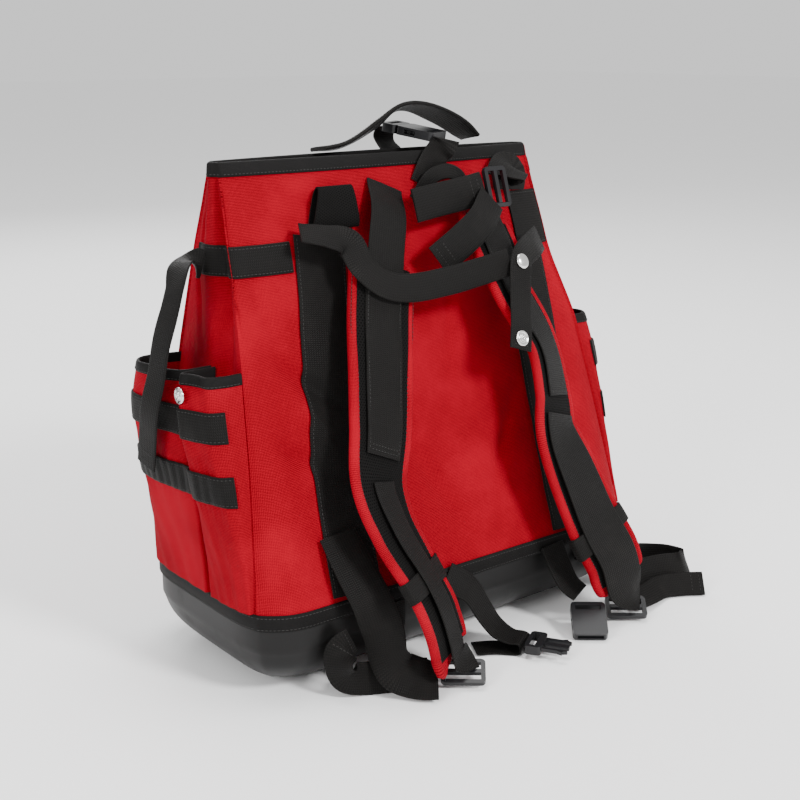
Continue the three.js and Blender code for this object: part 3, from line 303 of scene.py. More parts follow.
@dataclass(frozen=True)
class ClothFinish:
    """Coarse plain-woven polyester."""

    name: str
    thread: Colour
    # Painted shade: the darker colour that the crevices of the weave take.
    valley: Colour
    lit: Colour
    pitch: float = 1.25
    relief: float = 0.34
    twill: float = 3.0

    def material(self) -> bpy.types.Material:
        """Builds the finish.

        Returns:
            The material, for a mesh with a weave map in millimetres.
        """
        graph = Graph(self.name)
        across, along = graph.weave_place()
        drift = graph.noise(90, 2) * 0.7
        warp_step = across / self.pitch + drift
        weft_step = along / self.pitch + drift
        order = ((warp_step.floor() + weft_step.floor()) / self.twill).fract()
        over = order.above(0.4)
        warp = warp_step.round_rib()
        weft = weft_step.round_rib()
        weave = over * warp * (weft * 0.4 + 0.6) + (1 - over) * weft * (warp * 0.4 + 0.6)
        cloudy = graph.noise(14, 3, Vector((3, 1, 7)))
        worn = graph.noise(260, 3, Vector((9, 4, 2))).between(0.45, 0.75)
        # Painted shade: the crevices between the threads get the darker valley colour, the thread crowns the
        # thread colour.
        base = graph.blend(weave.between(0.15, 0.85), self.valley, self.thread)
        base = graph.blend(cloudy.between(0.35, 0.7) * 0.5, base, self.lit)
        base = graph.blend(worn * weave * 0.22, base, self.lit)
        soft = graph.bump(cloudy, 2.2, 0.35)
        return graph.shade(
            {
                "Base Color": base,
                "Roughness": 0.92 - weave * 0.16,
                "Sheen Weight": 0.01,
                "Sheen Roughness": 0.45,
                "Sheen Tint": (1.0, 0.72, 0.72, 1.0),
                "Specular IOR Level": 0.05,
                "Normal": graph.bump(weave, self.relief, 0.9, soft),
            }
        )


@dataclass(frozen=True)
class WebbingFinish:
    """Ribbed polypropylene webbing, or with a fine pitch, binding tape."""

    name: str
    thread: Colour
    # Painted shade: the darker colour that the grooves between the ribs take.
    valley: Colour
    rib: float = 1.7
    column: float = 2.3
    relief: float = 0.42

    def material(self) -> bpy.types.Material:
        """Builds the finish.

        Returns:
            The material, for a mesh with a weave map in millimetres.
        """
        graph = Graph(self.name)
        across, along = graph.weave_place()
        drift = graph.noise(120, 2) * 0.35
        lane = across / self.column
        zigzag = (lane.fract() * 2 - 1).absolute()
        rib = (along / self.rib + zigzag * 0.5 + drift).round_rib()
        groove = lane.round_rib()
        weave = rib * (groove * 0.45 + 0.55)
        fuzz = graph.noise(700, 3, Vector((5, 8, 1)))
        dust = graph.noise(60, 4, Vector((2, 6, 3))).between(0.5, 0.8)
        # Painted shade: the grooves between the ribs get the darker valley colour, the rib crowns the thread
        # colour.
        base = graph.blend(weave.between(0.1, 0.9), self.valley, self.thread)
        base = graph.blend(dust * 0.25, base, tuple(min(1.0, c * 1.8) for c in self.thread))
        return graph.shade(
            {
                "Base Color": base,
                "Roughness": 0.66 - weave * 0.2,
                "Sheen Weight": 0.01,
                "Sheen Roughness": 0.4,
                "Specular IOR Level": 0.10,
                "Normal": graph.bump(weave * 0.85 + fuzz * 0.15, self.relief, 0.95),
            }
        )


@dataclass(frozen=True)
class MeshFinish:
    """Black spacer mesh on the faces of the shoulder pads."""

    name: str
    thread: Colour
    # Painted shade: the near-black colour that the mesh's holes take.
    hole: Colour
    pitch: float = 2.6
    relief: float = 0.6

    def material(self) -> bpy.types.Material:
        """Builds the finish.

        Returns:
            The material, for a mesh with a weave map in millimetres.
        """
        graph = Graph(self.name)
        across, along = graph.weave_place()
        row = along / (self.pitch * 0.87)
        shift = (row.floor() / 2).fract()
        x = (across / self.pitch + shift).fract() - 0.5
        y = row.fract() - 0.5
        reach = (x * x + y * y).math("SQRT")
        net = reach.between(0.2, 0.36)
        fuzz = graph.noise(500, 3)
        # Painted shade: the holes of the mesh get the darker hole colour, the net between them the thread
        # colour.
        base = graph.blend(net, self.hole, self.thread)
        height = net * 0.8 + fuzz * 0.2
        return graph.shade(
            {
                "Base Color": base,
                "Roughness": 0.86 - net * 0.12,
                "Specular IOR Level": 0.06,
                "Sheen Weight": 0.01,
                "Sheen Roughness": 0.4,
                "Normal": graph.bump(height, self.relief, 0.9),
            }
        )


@dataclass(frozen=True)
class MouldedFinish:
    """Moulded plastic, with a grain and light wear."""

    name: str
    colour: Colour
    scuffed: Colour
    roughness: float
    grain: float
    relief: float
    coat: float = 0.0
    specular: float = 0.22

    def material(self) -> bpy.types.Material:
        """Builds the finish.

        Returns:
            The material.
        """
        graph = Graph(self.name)
        grain = graph.noise(self.grain, 3)
        scuff = graph.noise(35, 5, Vector((4, 4, 9))).between(0.52, 0.78)
        streak = graph.noise(8, 2, Vector((1, 2, 3)))
        base = graph.blend(scuff * 0.45, self.colour, self.scuffed)
        return graph.shade(
            {
                "Base Color": base,
                "Roughness": scuff * 0.12 + streak * 0.1 + (self.roughness - 0.05),
                "Specular IOR Level": self.specular,
                "Coat Weight": self.coat,
                "Coat Roughness": 0.25,
                "Normal": graph.bump(grain, self.relief, 0.8),
            }
        )


@dataclass(frozen=True)
class MetalFinish:
    """Plain nickel plate with fine scratches."""

    name: str
    colour: Colour
    roughness: float

    def material(self) -> bpy.types.Material:
        """Builds the finish.

        Returns:
            The material.
        """
        graph = Graph(self.name)
        brushed = graph.noise(900, 4)
        stain = graph.noise(300, 3, Vector((7, 1, 1))).between(0.5, 0.75)
        base = graph.blend(stain * 0.3, self.colour, tuple(c * 0.7 for c in self.colour))
        return graph.shade(
            {
                "Base Color": base,
                "Metallic": 1.0,
                "Roughness": stain * 0.15 + self.roughness,
                "Normal": graph.bump(brushed, 0.02, 0.5),
            }
        )


@dataclass(frozen=True)
class ThreadFinish:
    """Twisted sewing thread."""

    name: str
    colour: Colour

    def material(self) -> bpy.types.Material:
        """Builds the finish.

        Returns:
            The material.
        """
        graph = Graph(self.name)
        fuzz = graph.noise(1500, 2)
        base = graph.blend(fuzz.between(0.3, 0.7) * 0.4, self.colour, tuple(c * 0.5 for c in self.colour))
        return graph.shade({"Base Color": base, "Roughness": 0.7 + fuzz * 0.1})


@dataclass(frozen=True)
class Finishes:
    """Every finish of the backpack."""

    cloth: bpy.types.Material
    webbing: bpy.types.Material
    tape: bpy.types.Material
    mesh: bpy.types.Material
    tray: bpy.types.Material
    plastic: bpy.types.Material
    metal: bpy.types.Material
    black_thread: bpy.types.Material
    floor: bpy.types.Material

    @classmethod
    def made(cls) -> "Finishes":
        """Builds them all.

        Returns:
            The finishes.
        """
        # The second colour of the cloth, webbing, tape and mesh is painted shade for their crevices, grooves
        # and holes.
        cloth = ClothFinish("Red_cloth", (0.30, 0.0004, 0.010), (0.085, 0.0002, 0.002), (0.40, 0.0016, 0.016))
        webbing = WebbingFinish("Ribbed_webbing", (0.0070, 0.0062, 0.0056), (0.0008, 0.0007, 0.0007))
        tape_colours = (0.0062, 0.0056, 0.0053), (0.0012, 0.0011, 0.0011)
        tape = WebbingFinish("Binding_tape", *tape_colours, 0.9, 1.1, 0.2)
        mesh = MeshFinish("Spacer_mesh", (0.0048, 0.0044, 0.0042), (0.0005, 0.0005, 0.0005))
        tray_colours = (0.0036, 0.0033, 0.0032), (0.009, 0.0085, 0.008)
        tray = MouldedFinish("Moulded_tray", *tray_colours, 0.42, 900, 0.10)
        plastic_colours = (0.010, 0.010, 0.011), (0.03, 0.03, 0.03)
        plastic = MouldedFinish("Buckle_plastic", *plastic_colours, 0.30, 1400, 0.03, 0.1)
        return cls(
            cloth=cloth.material(),
            webbing=webbing.material(),
            tape=tape.material(),
            mesh=mesh.material(),
            tray=tray.material(),
            plastic=plastic.material(),
            metal=MetalFinish("Snap_nickel", (0.72, 0.71, 0.69), 0.2).material(),
            black_thread=ThreadFinish("Black_thread", (0.022, 0.021, 0.020)).material(),
            floor=FloorFinish("Pale_floor", (0.97, 0.97, 0.97)).material(),
        )


@dataclass(frozen=True)
class FloorFinish:
    """A plain pale floor."""

    name: str
    colour: Colour

    def material(self) -> bpy.types.Material:
        """Builds the finish."""
        graph = Graph(self.name)
        return graph.shade({"Base Color": (*self.colour, 1.0), "Roughness": 0.9, "Specular IOR Level": 0.1})


# Tables


class FootStep(NamedTuple):
    """A step of the tray's foot: shares of its inset and rise."""

    inset: float
    up: float


class Section(NamedTuple):
    """The bag's plan at a share of its height, as in the frame."""

    up: float
    narrow: float
    lean: float
    close: float
    round: float
    spread: float
    fold: float
    pinch: float


class Dent(NamedTuple):
    """A soft dent: its wall and middle, its turn from upright, its reach and its depth."""

    wall: str
    across: float
    up: float
    turn: float
    long: float
    wide: float
    deep: float


class PocketPlace(NamedTuple):
    """A place of a pocket's wall in plan."""

    along: float
    out: float


class Flare(NamedTuple):
    """How far a pocket stands out at a share of its height."""

    up: float
    flare: float


class Stop(NamedTuple):
    """A stop of a strap's route, as shares of the bag's sizes and degrees."""

    across: float
    out: float
    up: float
    turn: float
    tilt: float


class WallStop(NamedTuple):
    """A stop of a route on the harness wall."""

    across: float
    up: float


FOOT_PROFILE: Tuple[FootStep, ...] = (
    FootStep(1.00, 0.00),
    FootStep(0.66, 0.11),
    FootStep(0.36, 0.29),
    FootStep(0.12, 0.60),
    FootStep(0.00, 1.00),
)
BODY_SECTIONS: Tuple[Section, ...] = (
    Section(0.00, 0.00, 0.00, 0.00, 0.50, 0.17, 6.0, 0.0),
    Section(0.15, 0.16, 0.15, 0.12, 0.36, 0.16, 4.0, 0.0),
    Section(0.33, 0.34, 0.33, 0.30, 0.20, 0.14, 2.4, 0.0),
    Section(0.55, 0.53, 0.55, 0.54, 0.08, 0.12, 1.4, 0.2),
    Section(0.72, 0.70, 0.72, 0.71, 0.09, 0.24, 1.2, 1.8),
    Section(0.80, 0.78, 0.80, 0.79, 0.10, 0.30, 1.1, 1.4),
    Section(1.00, 1.00, 1.00, 1.00, 0.22, 0.90, 1.0, 0.2),
)
DENTS: Tuple[Dent, ...] = (
    Dent("back", -0.80, 0.60, -50, 0.20, 0.07, 0.55),
    Dent("back", -0.86, 0.42, -38, 0.16, 0.06, 0.70),
    Dent("back", -0.74, 0.86, -60, 0.10, 0.06, 0.50),
    Dent("back", 0.10, 0.45, 0, 0.45, 0.35, 0.60),
    Dent("left", -0.62, 0.78, 0, 0.20, 0.06, 1.10),
    Dent("left", -0.55, 0.60, 8, 0.12, 0.05, 0.90),
    Dent("right", -0.58, 0.74, 0, 0.22, 0.06, 1.00),
    Dent("front", 0.00, 0.50, 0, 0.45, 0.40, 0.60),
)
REAR_POCKET_PLAN: Tuple[PocketPlace, ...] = (
    PocketPlace(-0.970, 0.00),
    PocketPlace(-0.970, 0.42),
    PocketPlace(-0.87, 0.74),
    PocketPlace(-0.70, 0.86),
    PocketPlace(-0.50, 0.93),
    PocketPlace(-0.37, 0.95),
    PocketPlace(-0.31, 0.80),
    PocketPlace(-0.295, 0.00),
)
FRONT_POCKET_PLAN: Tuple[PocketPlace, ...] = (
    PocketPlace(-0.215, 0.00),
    PocketPlace(-0.20, 0.62),
    PocketPlace(-0.13, 0.76),
    PocketPlace(0.12, 0.94),
    PocketPlace(0.45, 1.08),
    PocketPlace(0.82, 1.20),
    PocketPlace(1.02, 1.10),
    PocketPlace(1.10, 0.70),
    PocketPlace(0.985, 0.00),
)
POCKET_PROFILE: Tuple[Flare, ...] = (
    Flare(0.00, 0.02),
    Flare(0.15, 0.14),
    Flare(0.32, 0.36),
    Flare(0.50, 0.60),
    Flare(0.70, 0.88),
    Flare(0.86, 1.00),
    Flare(1.00, 0.97),
)
LEFT_PAD_ROUTE: Tuple[Stop, ...] = (
    Stop(-0.064, 0.001, 0.935, 0, 18),
    Stop(-0.115, 0.038, 0.885, 0, 18),
    Stop(-0.200, 0.068, 0.800, 0, 20),
    Stop(-0.290, 0.098, 0.690, 0, 18),
    Stop(-0.350, 0.112, 0.585, 2, 18),
    Stop(-0.410, 0.125, 0.490, 6, 18),
    Stop(-0.475, 0.138, 0.400, 14, 16),
    Stop(-0.465, 0.155, 0.320, 24, 14),
    Stop(-0.412, 0.185, 0.235, 30, 18),
    Stop(-0.370, 0.215, 0.160, 30, 16),
    Stop(-0.335, 0.232, 0.095, 28, 12),
    Stop(-0.320, 0.240, 0.062, 26, 12),
    Stop(-0.230, 0.227, 0.0285, -40, 66),
)
RIGHT_PAD_ROUTE: Tuple[Stop, ...] = (
    Stop(0.400, 0.006, 0.852, 4, 18),
    Stop(0.375, 0.078, 0.805, 8, 20),
    Stop(0.375, 0.135, 0.715, 22, 20),
    Stop(0.460, 0.168, 0.600, 28, 18),
    Stop(0.462, 0.176, 0.490, 24, 18),
    Stop(0.440, 0.178, 0.420, 18, 16),
    Stop(0.480, 0.180, 0.340, 8, 14),
    Stop(0.552, 0.186, 0.220, 0, 14),
    Stop(0.612, 0.206, 0.145, -2, 12),
    Stop(0.640, 0.230, 0.088, -2, 10),
    Stop(0.717, 0.227, 0.029, -39, 67),
)
YOKE_WEBBING_ROUTE: Tuple[Stop, ...] = (
    Stop(-0.010, 0.112, 0.897, 0, 12),
    Stop(0.120, 0.104, 0.904, 0, 14),
    Stop(0.280, 0.098, 0.912, 0, 16),
    Stop(0.381, 0.104, 0.920, 0, 18),
)
YOKE_SLEEVE_ROUTE: Tuple[Stop, ...] = (
    Stop(-0.475, 0.002, 0.900, 0, 18),
    Stop(-0.330, 0.002, 0.900, 0, 18),
    Stop(-0.250, 0.002, 0.900, 0, 18),
)
HARNESS_TAIL_ROUTE: Tuple[Stop, ...] = (
    Stop(0.398, 0.123, 0.896, -6, 18),
    Stop(0.275, 0.174, 0.858, -8, 18),
    Stop(0.170, 0.166, 0.826, -6, 18),
    Stop(0.052, 0.120, 0.786, -4, 18),
)
HARNESS_ANCHOR_ROUTE: Tuple[Stop, ...] = (
    Stop(0.610, -0.005, 0.905, 0, 18),
    Stop(0.615, 0.030, 0.945, 0, 24),
    Stop(0.580, 0.070, 0.955, 0, 60),
    Stop(0.518, 0.099, 0.936, 0, 80),
)
STERNUM_ROUTE: Tuple[Stop, ...] = (
    Stop(-0.560, 0.085, 0.866, -10, 60),
    Stop(-0.460, 0.118, 0.856, -10, 50),
    Stop(-0.375, 0.130, 0.842, -30, 20),
    Stop(-0.350, 0.155, 0.800, -5, 20),
    Stop(-0.270, 0.162, 0.762, 0, 18),
    Stop(-0.160, 0.166, 0.748, 0, 16),
    Stop(0.030, 0.185, 0.752, 0, 14),
    Stop(0.200, 0.220, 0.766, 0, 12),
    Stop(0.330, 0.243, 0.778, 4, 10),
)
STERNUM_TAB_ROUTE: Tuple[Stop, ...] = (
    Stop(0.640, 0.101, 0.805, 10, 20),
    Stop(0.520, 0.191, 0.800, 0, 30),
    Stop(0.390, 0.254, 0.780, 0, 16),
    Stop(0.350, 0.254, 0.720, 0, 16),
    Stop(0.300, 0.280, 0.660, 0, 16),
    Stop(0.264, 0.284, 0.610, 0, 16),
)
CLOSURE_STRAP_ROUTE: Tuple[Stop, ...] = (
    Stop(0.130, 0.001, 0.930, 0, 18),
    Stop(0.175, 0.020, 0.968, 0, 14),
    Stop(0.222, 0.050, 0.998, 0, 24),
    Stop(0.240, 0.076, 1.014, 10, 44),
    Stop(0.246, 0.072, 1.021, 20, 74),
)
CLOSURE_FRONT_ROUTE: Tuple[Stop, ...] = (
    Stop(0.165, -0.247, 1.042, 180, 70),
    Stop(0.160, -0.262, 1.020, 180, 30),
    Stop(0.156, -0.186, 0.984, 180, -10),
    Stop(0.154, -0.217, 0.930, 180, 8),
)
HANDLE_ROUTE: Tuple[Stop, ...] = (
    Stop(-0.275, -0.118, 1.0045, 180, 84),
    Stop(-0.150, -0.118, 1.010, 195, 72),
    Stop(0.036, -0.118, 1.052, 206, 54),
    Stop(0.142, -0.118, 1.081, 180, 72),
    Stop(0.225, -0.118, 1.082, 180, 72),
    Stop(0.350, -0.118, 1.062, 160, 60),
    Stop(0.460, -0.118, 1.036, 150, 56),
    Stop(0.530, -0.118, 1.012, 170, 80),
)
CLOSURE_ANCHOR_ROUTE: Tuple[Stop, ...] = (
    Stop(0.085, -0.003, 0.900, 0, 18),
    Stop(0.150, 0.046, 0.945, 0, 18),
    Stop(0.230, 0.064, 0.957, 0, 18),
    Stop(0.310, 0.046, 0.940, 0, 18),
    Stop(0.345, 0.000, 0.905, 0, 18),
)
LEFT_ADJUST_ROUTE: Tuple[Stop, ...] = (
    Stop(-0.622, 0.015, 0.306, 0, 18),
    Stop(-0.608, 0.075, 0.245, -10, 24),
    Stop(-0.580, 0.110, 0.185, -14, 20),
    Stop(-0.550, 0.130, 0.125, -50, 10),
    Stop(-0.550, 0.160, 0.083, -60, 10),
    Stop(-0.532, 0.196, 0.056, -40, 20),
    Stop(-0.490, 0.220, 0.042, -24, 28),
    Stop(-0.454, 0.255, 0.036, -16, 40),
    Stop(-0.404, 0.284, 0.028, -10, 60),
)
LEFT_TAIL_ROUTE: Tuple[Stop, ...] = (
    Stop(-0.400, 0.215, 0.030, -30, 30),
    Stop(-0.510, 0.145, 0.032, -20, 20),
    Stop(-0.620, 0.092, 0.034, -30, 16),
    Stop(-0.705, 0.080, 0.050, -60, 10),
    Stop(-0.725, 0.072, 0.078, -70, 0),
    Stop(-0.690, 0.056, 0.102, -30, 0),
    Stop(-0.650, 0.050, 0.112, 0, 0),
)
RIGHT_ADJUST_ROUTE: Tuple[Stop, ...] = (
    Stop(0.620, 0.0185, 0.150, 178, 0),
    Stop(0.720, 0.120, 0.120, 140, 4),
    Stop(0.870, 0.050, 0.085, 150, 4),
    Stop(1.014, 0.024, 0.058, 160, 6),
    Stop(1.125, 0.078, 0.052, 130, 14),
    Stop(1.170, 0.160, 0.048, 90, 20),
    Stop(1.110, 0.196, 0.046, 40, 20),
    Stop(1.030, 0.150, 0.044, -10, 20),
    Stop(0.930, 0.120, 0.042, 0, 20),
    Stop(0.850, 0.130, 0.040, 0, 30),
)
RIGHT_TAIL_ROUTE: Tuple[Stop, ...] = (
    Stop(0.752, 0.239, 0.026, -20, 66),
    Stop(0.868, 0.215, 0.022, 0, 60),
    Stop(0.977, 0.200, 0.023, -10, 45),
    Stop(1.062, 0.240, 0.024, -30, 40),
    Stop(1.145, 0.300, 0.024, -35, 40),
)
LEFT_WAIST_ROUTE: Tuple[Stop, ...] = (
    Stop(-0.150, 0.0125, 0.168, 0, 10),
    Stop(-0.070, 0.060, 0.140, 10, 30),
    Stop(0.000, 0.085, 0.080, 20, 20),
    Stop(0.045, 0.110, 0.044, 20, 40),
    Stop(0.085, 0.160, 0.026, 20, 80),
    Stop(0.112, 0.200, 0.024, 24, 84),
    Stop(0.119, 0.212, 0.013, 24, 0),
    Stop(0.108, 0.198, 0.006, 24, -84),
    Stop(0.030, 0.120, 0.006, 24, -86),
    Stop(-0.045, 0.075, 0.006, 24, -86),
)
RIGHT_WAIST_ROUTE: Tuple[Stop, ...] = (
    Stop(0.440, 0.0125, 0.165, 0, 10),
    Stop(0.446, 0.060, 0.125, 0, 36),
    Stop(0.462, 0.110, 0.085, 0, 50),
    Stop(0.484, 0.158, 0.068, 0, 62),
)
HANGING_STRAP_ROUTE: Tuple[Stop, ...] = (
    Stop(-0.865, -0.178, 0.810, -80, 0),
    Stop(-0.945, -0.175, 0.815, -82, 60),
    Stop(-1.012, -0.140, 0.778, -85, 20),
    Stop(-1.046, -0.165, 0.731, -85, 4),
    Stop(-1.074, -0.227, 0.671, -85, 4),
    Stop(-1.100, -0.274, 0.611, -85, 4),
    Stop(-1.124, -0.332, 0.551, -84, 0),
    Stop(-1.124, -0.412, 0.486, -84, 0),
    Stop(-1.120, -0.489, 0.426, -84, 0),
)
LEFT_BACK_WEBBING_ROUTE: Tuple[WallStop, ...] = (
    WallStop(-0.575, 0.190),
    WallStop(-0.560, 0.340),
    WallStop(-0.485, 0.650),
    WallStop(-0.425, 0.850),
)
RIGHT_BACK_WEBBING_ROUTE: Tuple[WallStop, ...] = (
    WallStop(0.585, 0.190),
    WallStop(0.590, 0.340),
    WallStop(0.600, 0.560),
    WallStop(0.610, 0.780),
)


# Fine folds, beyond those of the frame
FINE_DENTS: Tuple[Dent, ...] = (
    Dent("back", -0.70, 0.50, -55, 0.14, 0.020, 0.95),
    Dent("back", -0.78, 0.34, -62, 0.10, 0.018, 0.80),
    Dent("back", -0.66, 0.40, -40, 0.10, 0.016, -0.65),
    Dent("back", -0.90, 0.72, -20, 0.10, 0.020, 0.76),
    Dent("back", -0.60, 0.90, -75, 0.12, 0.020, 0.65),
    Dent("back", 0.20, 0.62, 20, 0.16, 0.022, 0.68),
    Dent("back", -0.10, 0.22, -30, 0.14, 0.022, 0.68),
    Dent("back", 0.35, 0.28, 35, 0.12, 0.020, 0.65),
    Dent("left", -0.55, 0.66, -50, 0.10, 0.022, 0.76),
    Dent("left", 0.45, 0.72, 40, 0.12, 0.024, 0.68),
    Dent("left", 0.30, 0.88, -20, 0.08, 0.022, 0.57),
    Dent("right", -0.35, 0.60, 40, 0.12, 0.024, 0.76),
    Dent("right", 0.40, 0.74, -35, 0.12, 0.024, 0.68),
    Dent("front", -0.55, 0.60, 35, 0.20, 0.024, 0.87),
    Dent("front", 0.50, 0.66, -40, 0.20, 0.024, 0.87),
    Dent("front", 0.10, 0.30, 60, 0.16, 0.024, 0.68),
    Dent("front", -0.20, 0.82, 80, 0.20, 0.022, 0.57),
)


@dataclass(frozen=True)
class BagSizes:
    """The bag's main sizes, in millimetres."""

    width: float = 438.0
    depth: float = 204.0
    height: float = 432.0
    mouth_width: float = 352.0
    mouth_gap: float = 30.0
    mouth_setback: float = 33.0
    ridge: float = 6.0
    cloth: float = 2.5
    tray: float = 72.0
    tray_wall: float = 4.0
    tray_floor: float = 5.0
    corner: float = 39.0
    foot_inset: float = 52.0
    foot_rise: float = 46.0
    tape: float = 1.5
    rim_height: float = 12.0
    tray_tape_height: float = 14.0
    webbing: float = 1.6
    clear: float = 0.4
    pocket_top: float = 268.0
    pocket_wall: float = 2.0
    pocket_tape_height: float = 9.0


SIZES = BagSizes()


# Curves and grids


def clamp(value: float, low: float = 0.0, high: float = 1.0) -> float:
    """Keeps a value between two limits."""
    return max(low, min(high, value))


def lerp(a: float, b: float, share: float) -> float:
    """A value between two others."""
    return a + (b - a) * share


def unit(vector: np.ndarray) -> np.ndarray:
    """Vectors of length 1."""
    length = np.linalg.norm(vector, axis=-1, keepdims=True)
    return vector / np.maximum(length, 1e-9)


def read_table(rows: Sequence[NamedTuple], at: float, column: str, soft: bool = True) -> float:
    """Reads a table between its rows, by the column "up".

    Args:
        rows: the table, in rising order.
        at: the place in its column "up".
        column: the column to read.
        soft: whether the value eases through the rows, or runs straight between them.

    Returns:
        The value there.
    """
    ups = [row.up for row in rows]
    values = [getattr(row, column) for row in rows]
    if not soft:
        return float(np.interp(at, ups, values))
    reach = 0.035
    near = np.linspace(-reach, reach, 7)
    return float(np.mean(np.interp(np.clip(at + near, ups[0], ups[-1]), ups, values)))


class Curve:
    """A centripetal curve through points, read by its length."""

    def __init__(self, points: Sequence[Sequence[float]], fine: int = 24) -> None:
        """Samples the curve.

        Args:
            points: the points it passes.
            fine: samples for each stretch.
        """
        given = [np.array(p, dtype=float) for p in points]
        before = given[0] * 2 - given[1]
        after = given[-1] * 2 - given[-2]
        rail = [before, *given, after]
        samples: List[np.ndarray] = []
        knots: List[float] = []
        for i in range(1, len(rail) - 2):
            for k in range(fine):
                samples.append(self._between(rail[i - 1 : i + 3], k / fine))
                knots.append(i - 1 + k / fine)
        samples.append(given[-1])
        knots.append(len(given) - 1)
        self.samples = np.array(samples)
        self.knots = np.array(knots)
        steps = np.linalg.norm(np.diff(self.samples, axis=0), axis=1)
        self.lengths = np.concatenate([[0.0], np.cumsum(steps)])

    @staticmethod
    def _between(rail: Sequence[np.ndarray], share: float) -> np.ndarray:
        """A point of one stretch.

        Args:
            rail: the points before, at both ends of, and after the stretch.
            share: how far along it.

        Returns:
            The point.
        """
        p0, p1, p2, p3 = rail
        d01, d12, d23 = (max(1e-4, math.sqrt(float(np.linalg.norm(b - a)))) for a, b in zip(rail, rail[1:]))
        m1 = (p1 - p0) / d01 - (p2 - p0) / (d01 + d12) + (p2 - p1) / d12
        m2 = (p2 - p1) / d12 - (p3 - p1) / (d12 + d23) + (p3 - p2) / d23
        m1, m2 = m1 * d12, m2 * d12
        t = share
        return p1 + m1 * t + (3 * (p2 - p1) - 2 * m1 - m2) * t * t + (m1 + m2 - 2 * (p2 - p1)) * t * t * t

    @property
    def length(self) -> float:
        """The whole length."""
        return float(self.lengths[-1])

    def at(self, share: float) -> np.ndarray:
        """A point at a share of the length.

        Args:
            share: from 0 to 1.

        Returns:
            The point.
        """
        wanted = share * self.length
        columns = range(self.samples.shape[1])
        return np.array([np.interp(wanted, self.lengths, self.samples[:, k]) for k in columns])

    def tangent(self, share: float) -> np.ndarray:
        """The direction at a share of the length."""
        step = 0.004
        return unit(self.at(min(1.0, share + step)) - self.at(max(0.0, share - step)))


def mesh_object(
    name: str,
    points: np.ndarray,
    faces: Sequence[Sequence[int]],
    weave: Optional[np.ndarray],
    material: bpy.types.Material,
    smooth: bool = True,
) -> bpy.types.Object:
    """Makes a mesh object from points in millimetres.

    Args:
        name: its name.
        points: one row for each point.
        faces: indices of each face's points.
        weave: a weave place for each point, in millimetres, or None.
        material: its material.
        smooth: whether its faces are shaded smoothly.

    Returns:
        The object, in the scene.
    """
    mesh = bpy.data.meshes.new(name)
    mesh.from_pydata((np.asarray(points) * MM).tolist(), [], [list(face) for face in faces])
    mesh.validate()
    if weave is not None:
        layer = mesh.uv_layers.new(name=WEAVE_MAP)
        corners = np.empty(len(mesh.loops), dtype=np.int32)
        mesh.loops.foreach_get("vertex_index", corners)
        layer.data.foreach_set("uv", np.asarray(weave, dtype=np.float32)[corners].ravel())
    mesh.polygons.foreach_set("use_smooth", [smooth] * len(mesh.polygons))
    mesh.materials.append(material)
    made = bpy.data.objects.new(name, mesh)
    bpy.context.scene.collection.objects.link(made)
    return made


def grid_places(points: Grid) -> np.ndarray:
    """Where each point of a grid lies on the flat cloth, by the lengths along its middle row and column.

    Args:
        points: rows of columns of points.

    Returns:
        Places in millimetres, one row for each point.
    """
    middle_row = points[points.shape[0] // 2]
    middle_column = points[:, points.shape[1] // 2]
    u, v = np.meshgrid(lengths_along(middle_row), lengths_along(middle_column))
    return np.stack([u, v], axis=-1).reshape(-1, 2)


def grid_normals(points: Grid, closed: bool = False) -> Grid:
    """Normals of a grid, from the way its rows and columns run.

    Args:
        points: rows of columns of points.
        closed: whether the last column meets the first.

    Returns:
        A normal for each point, rows x columns.
    """
    upward = np.gradient(points, axis=0)
    if closed:
        wrapped = np.concatenate([points[:, -1:], points, points[:, :1]], axis=1)
        sideways = np.gradient(wrapped, axis=1)[:, 1:-1]
    else:
        sideways = np.gradient(points, axis=1)
    return unit(np.cross(sideways, upward))


def sheet(
    name: str,
    outer: Grid,
    inner: Grid,
    material: bpy.types.Material,
    closed: bool = False,
    weave: Optional[np.ndarray] = None,
) -> bpy.types.Object:
    """Makes a closed wall between two grids of the same shape.

    Args:
        name: its name.
        outer: rows of columns of points, its outer face.
        inner: the same, its inner face.
        material: its material.
        closed: whether the last column meets the first.
        weave: the weave places, or None for lengths along the middle row and column.

    Returns:
        The object.
    """
    rows, columns = outer.shape[:2]
    if closed:
        outer = np.concatenate([outer, outer[:, :1]], axis=1)
        inner = np.concatenate([inner, inner[:, :1]], axis=1)
        columns += 1
    places = grid_places(outer) if weave is None else weave
    points = np.concatenate([outer.reshape(-1, 3), inner.reshape(-1, 3)])
    base = rows * columns
    faces: List[Tuple[int, ...]] = []
    for r in range(rows - 1):
        for c in range(columns - 1):
            a, b = r * columns + c, r * columns + c + 1
            faces.append((a, b, b + columns, a + columns))
            faces.append((base + a, base + a + columns, base + b + columns, base + b))
    for c in range(columns - 1):
        top = (rows - 1) * columns + c
        faces.append((c + 1, c, base + c, base + c + 1))
        faces.append((top, top + 1, base + top + 1, base + top))
    if not closed:
        for r in range(rows - 1):
            a, b = r * columns, r * columns + columns - 1
            faces.append((a, a + columns, base + a + columns, base + a))
            faces.append((b + columns, b, base + b, base + b + columns))
    made = mesh_object(name, points, faces, np.concatenate([places, places]), material)
    mark_edges(made)
    return made


def mark_edges(made: bpy.types.Object, degrees: float = 50.0) -> None:
    """Keeps a mesh's sharp edges crisp under smooth shading."""
    made.data.update()
    made.data.set_sharp_from_angle(angle=math.radians(degrees))


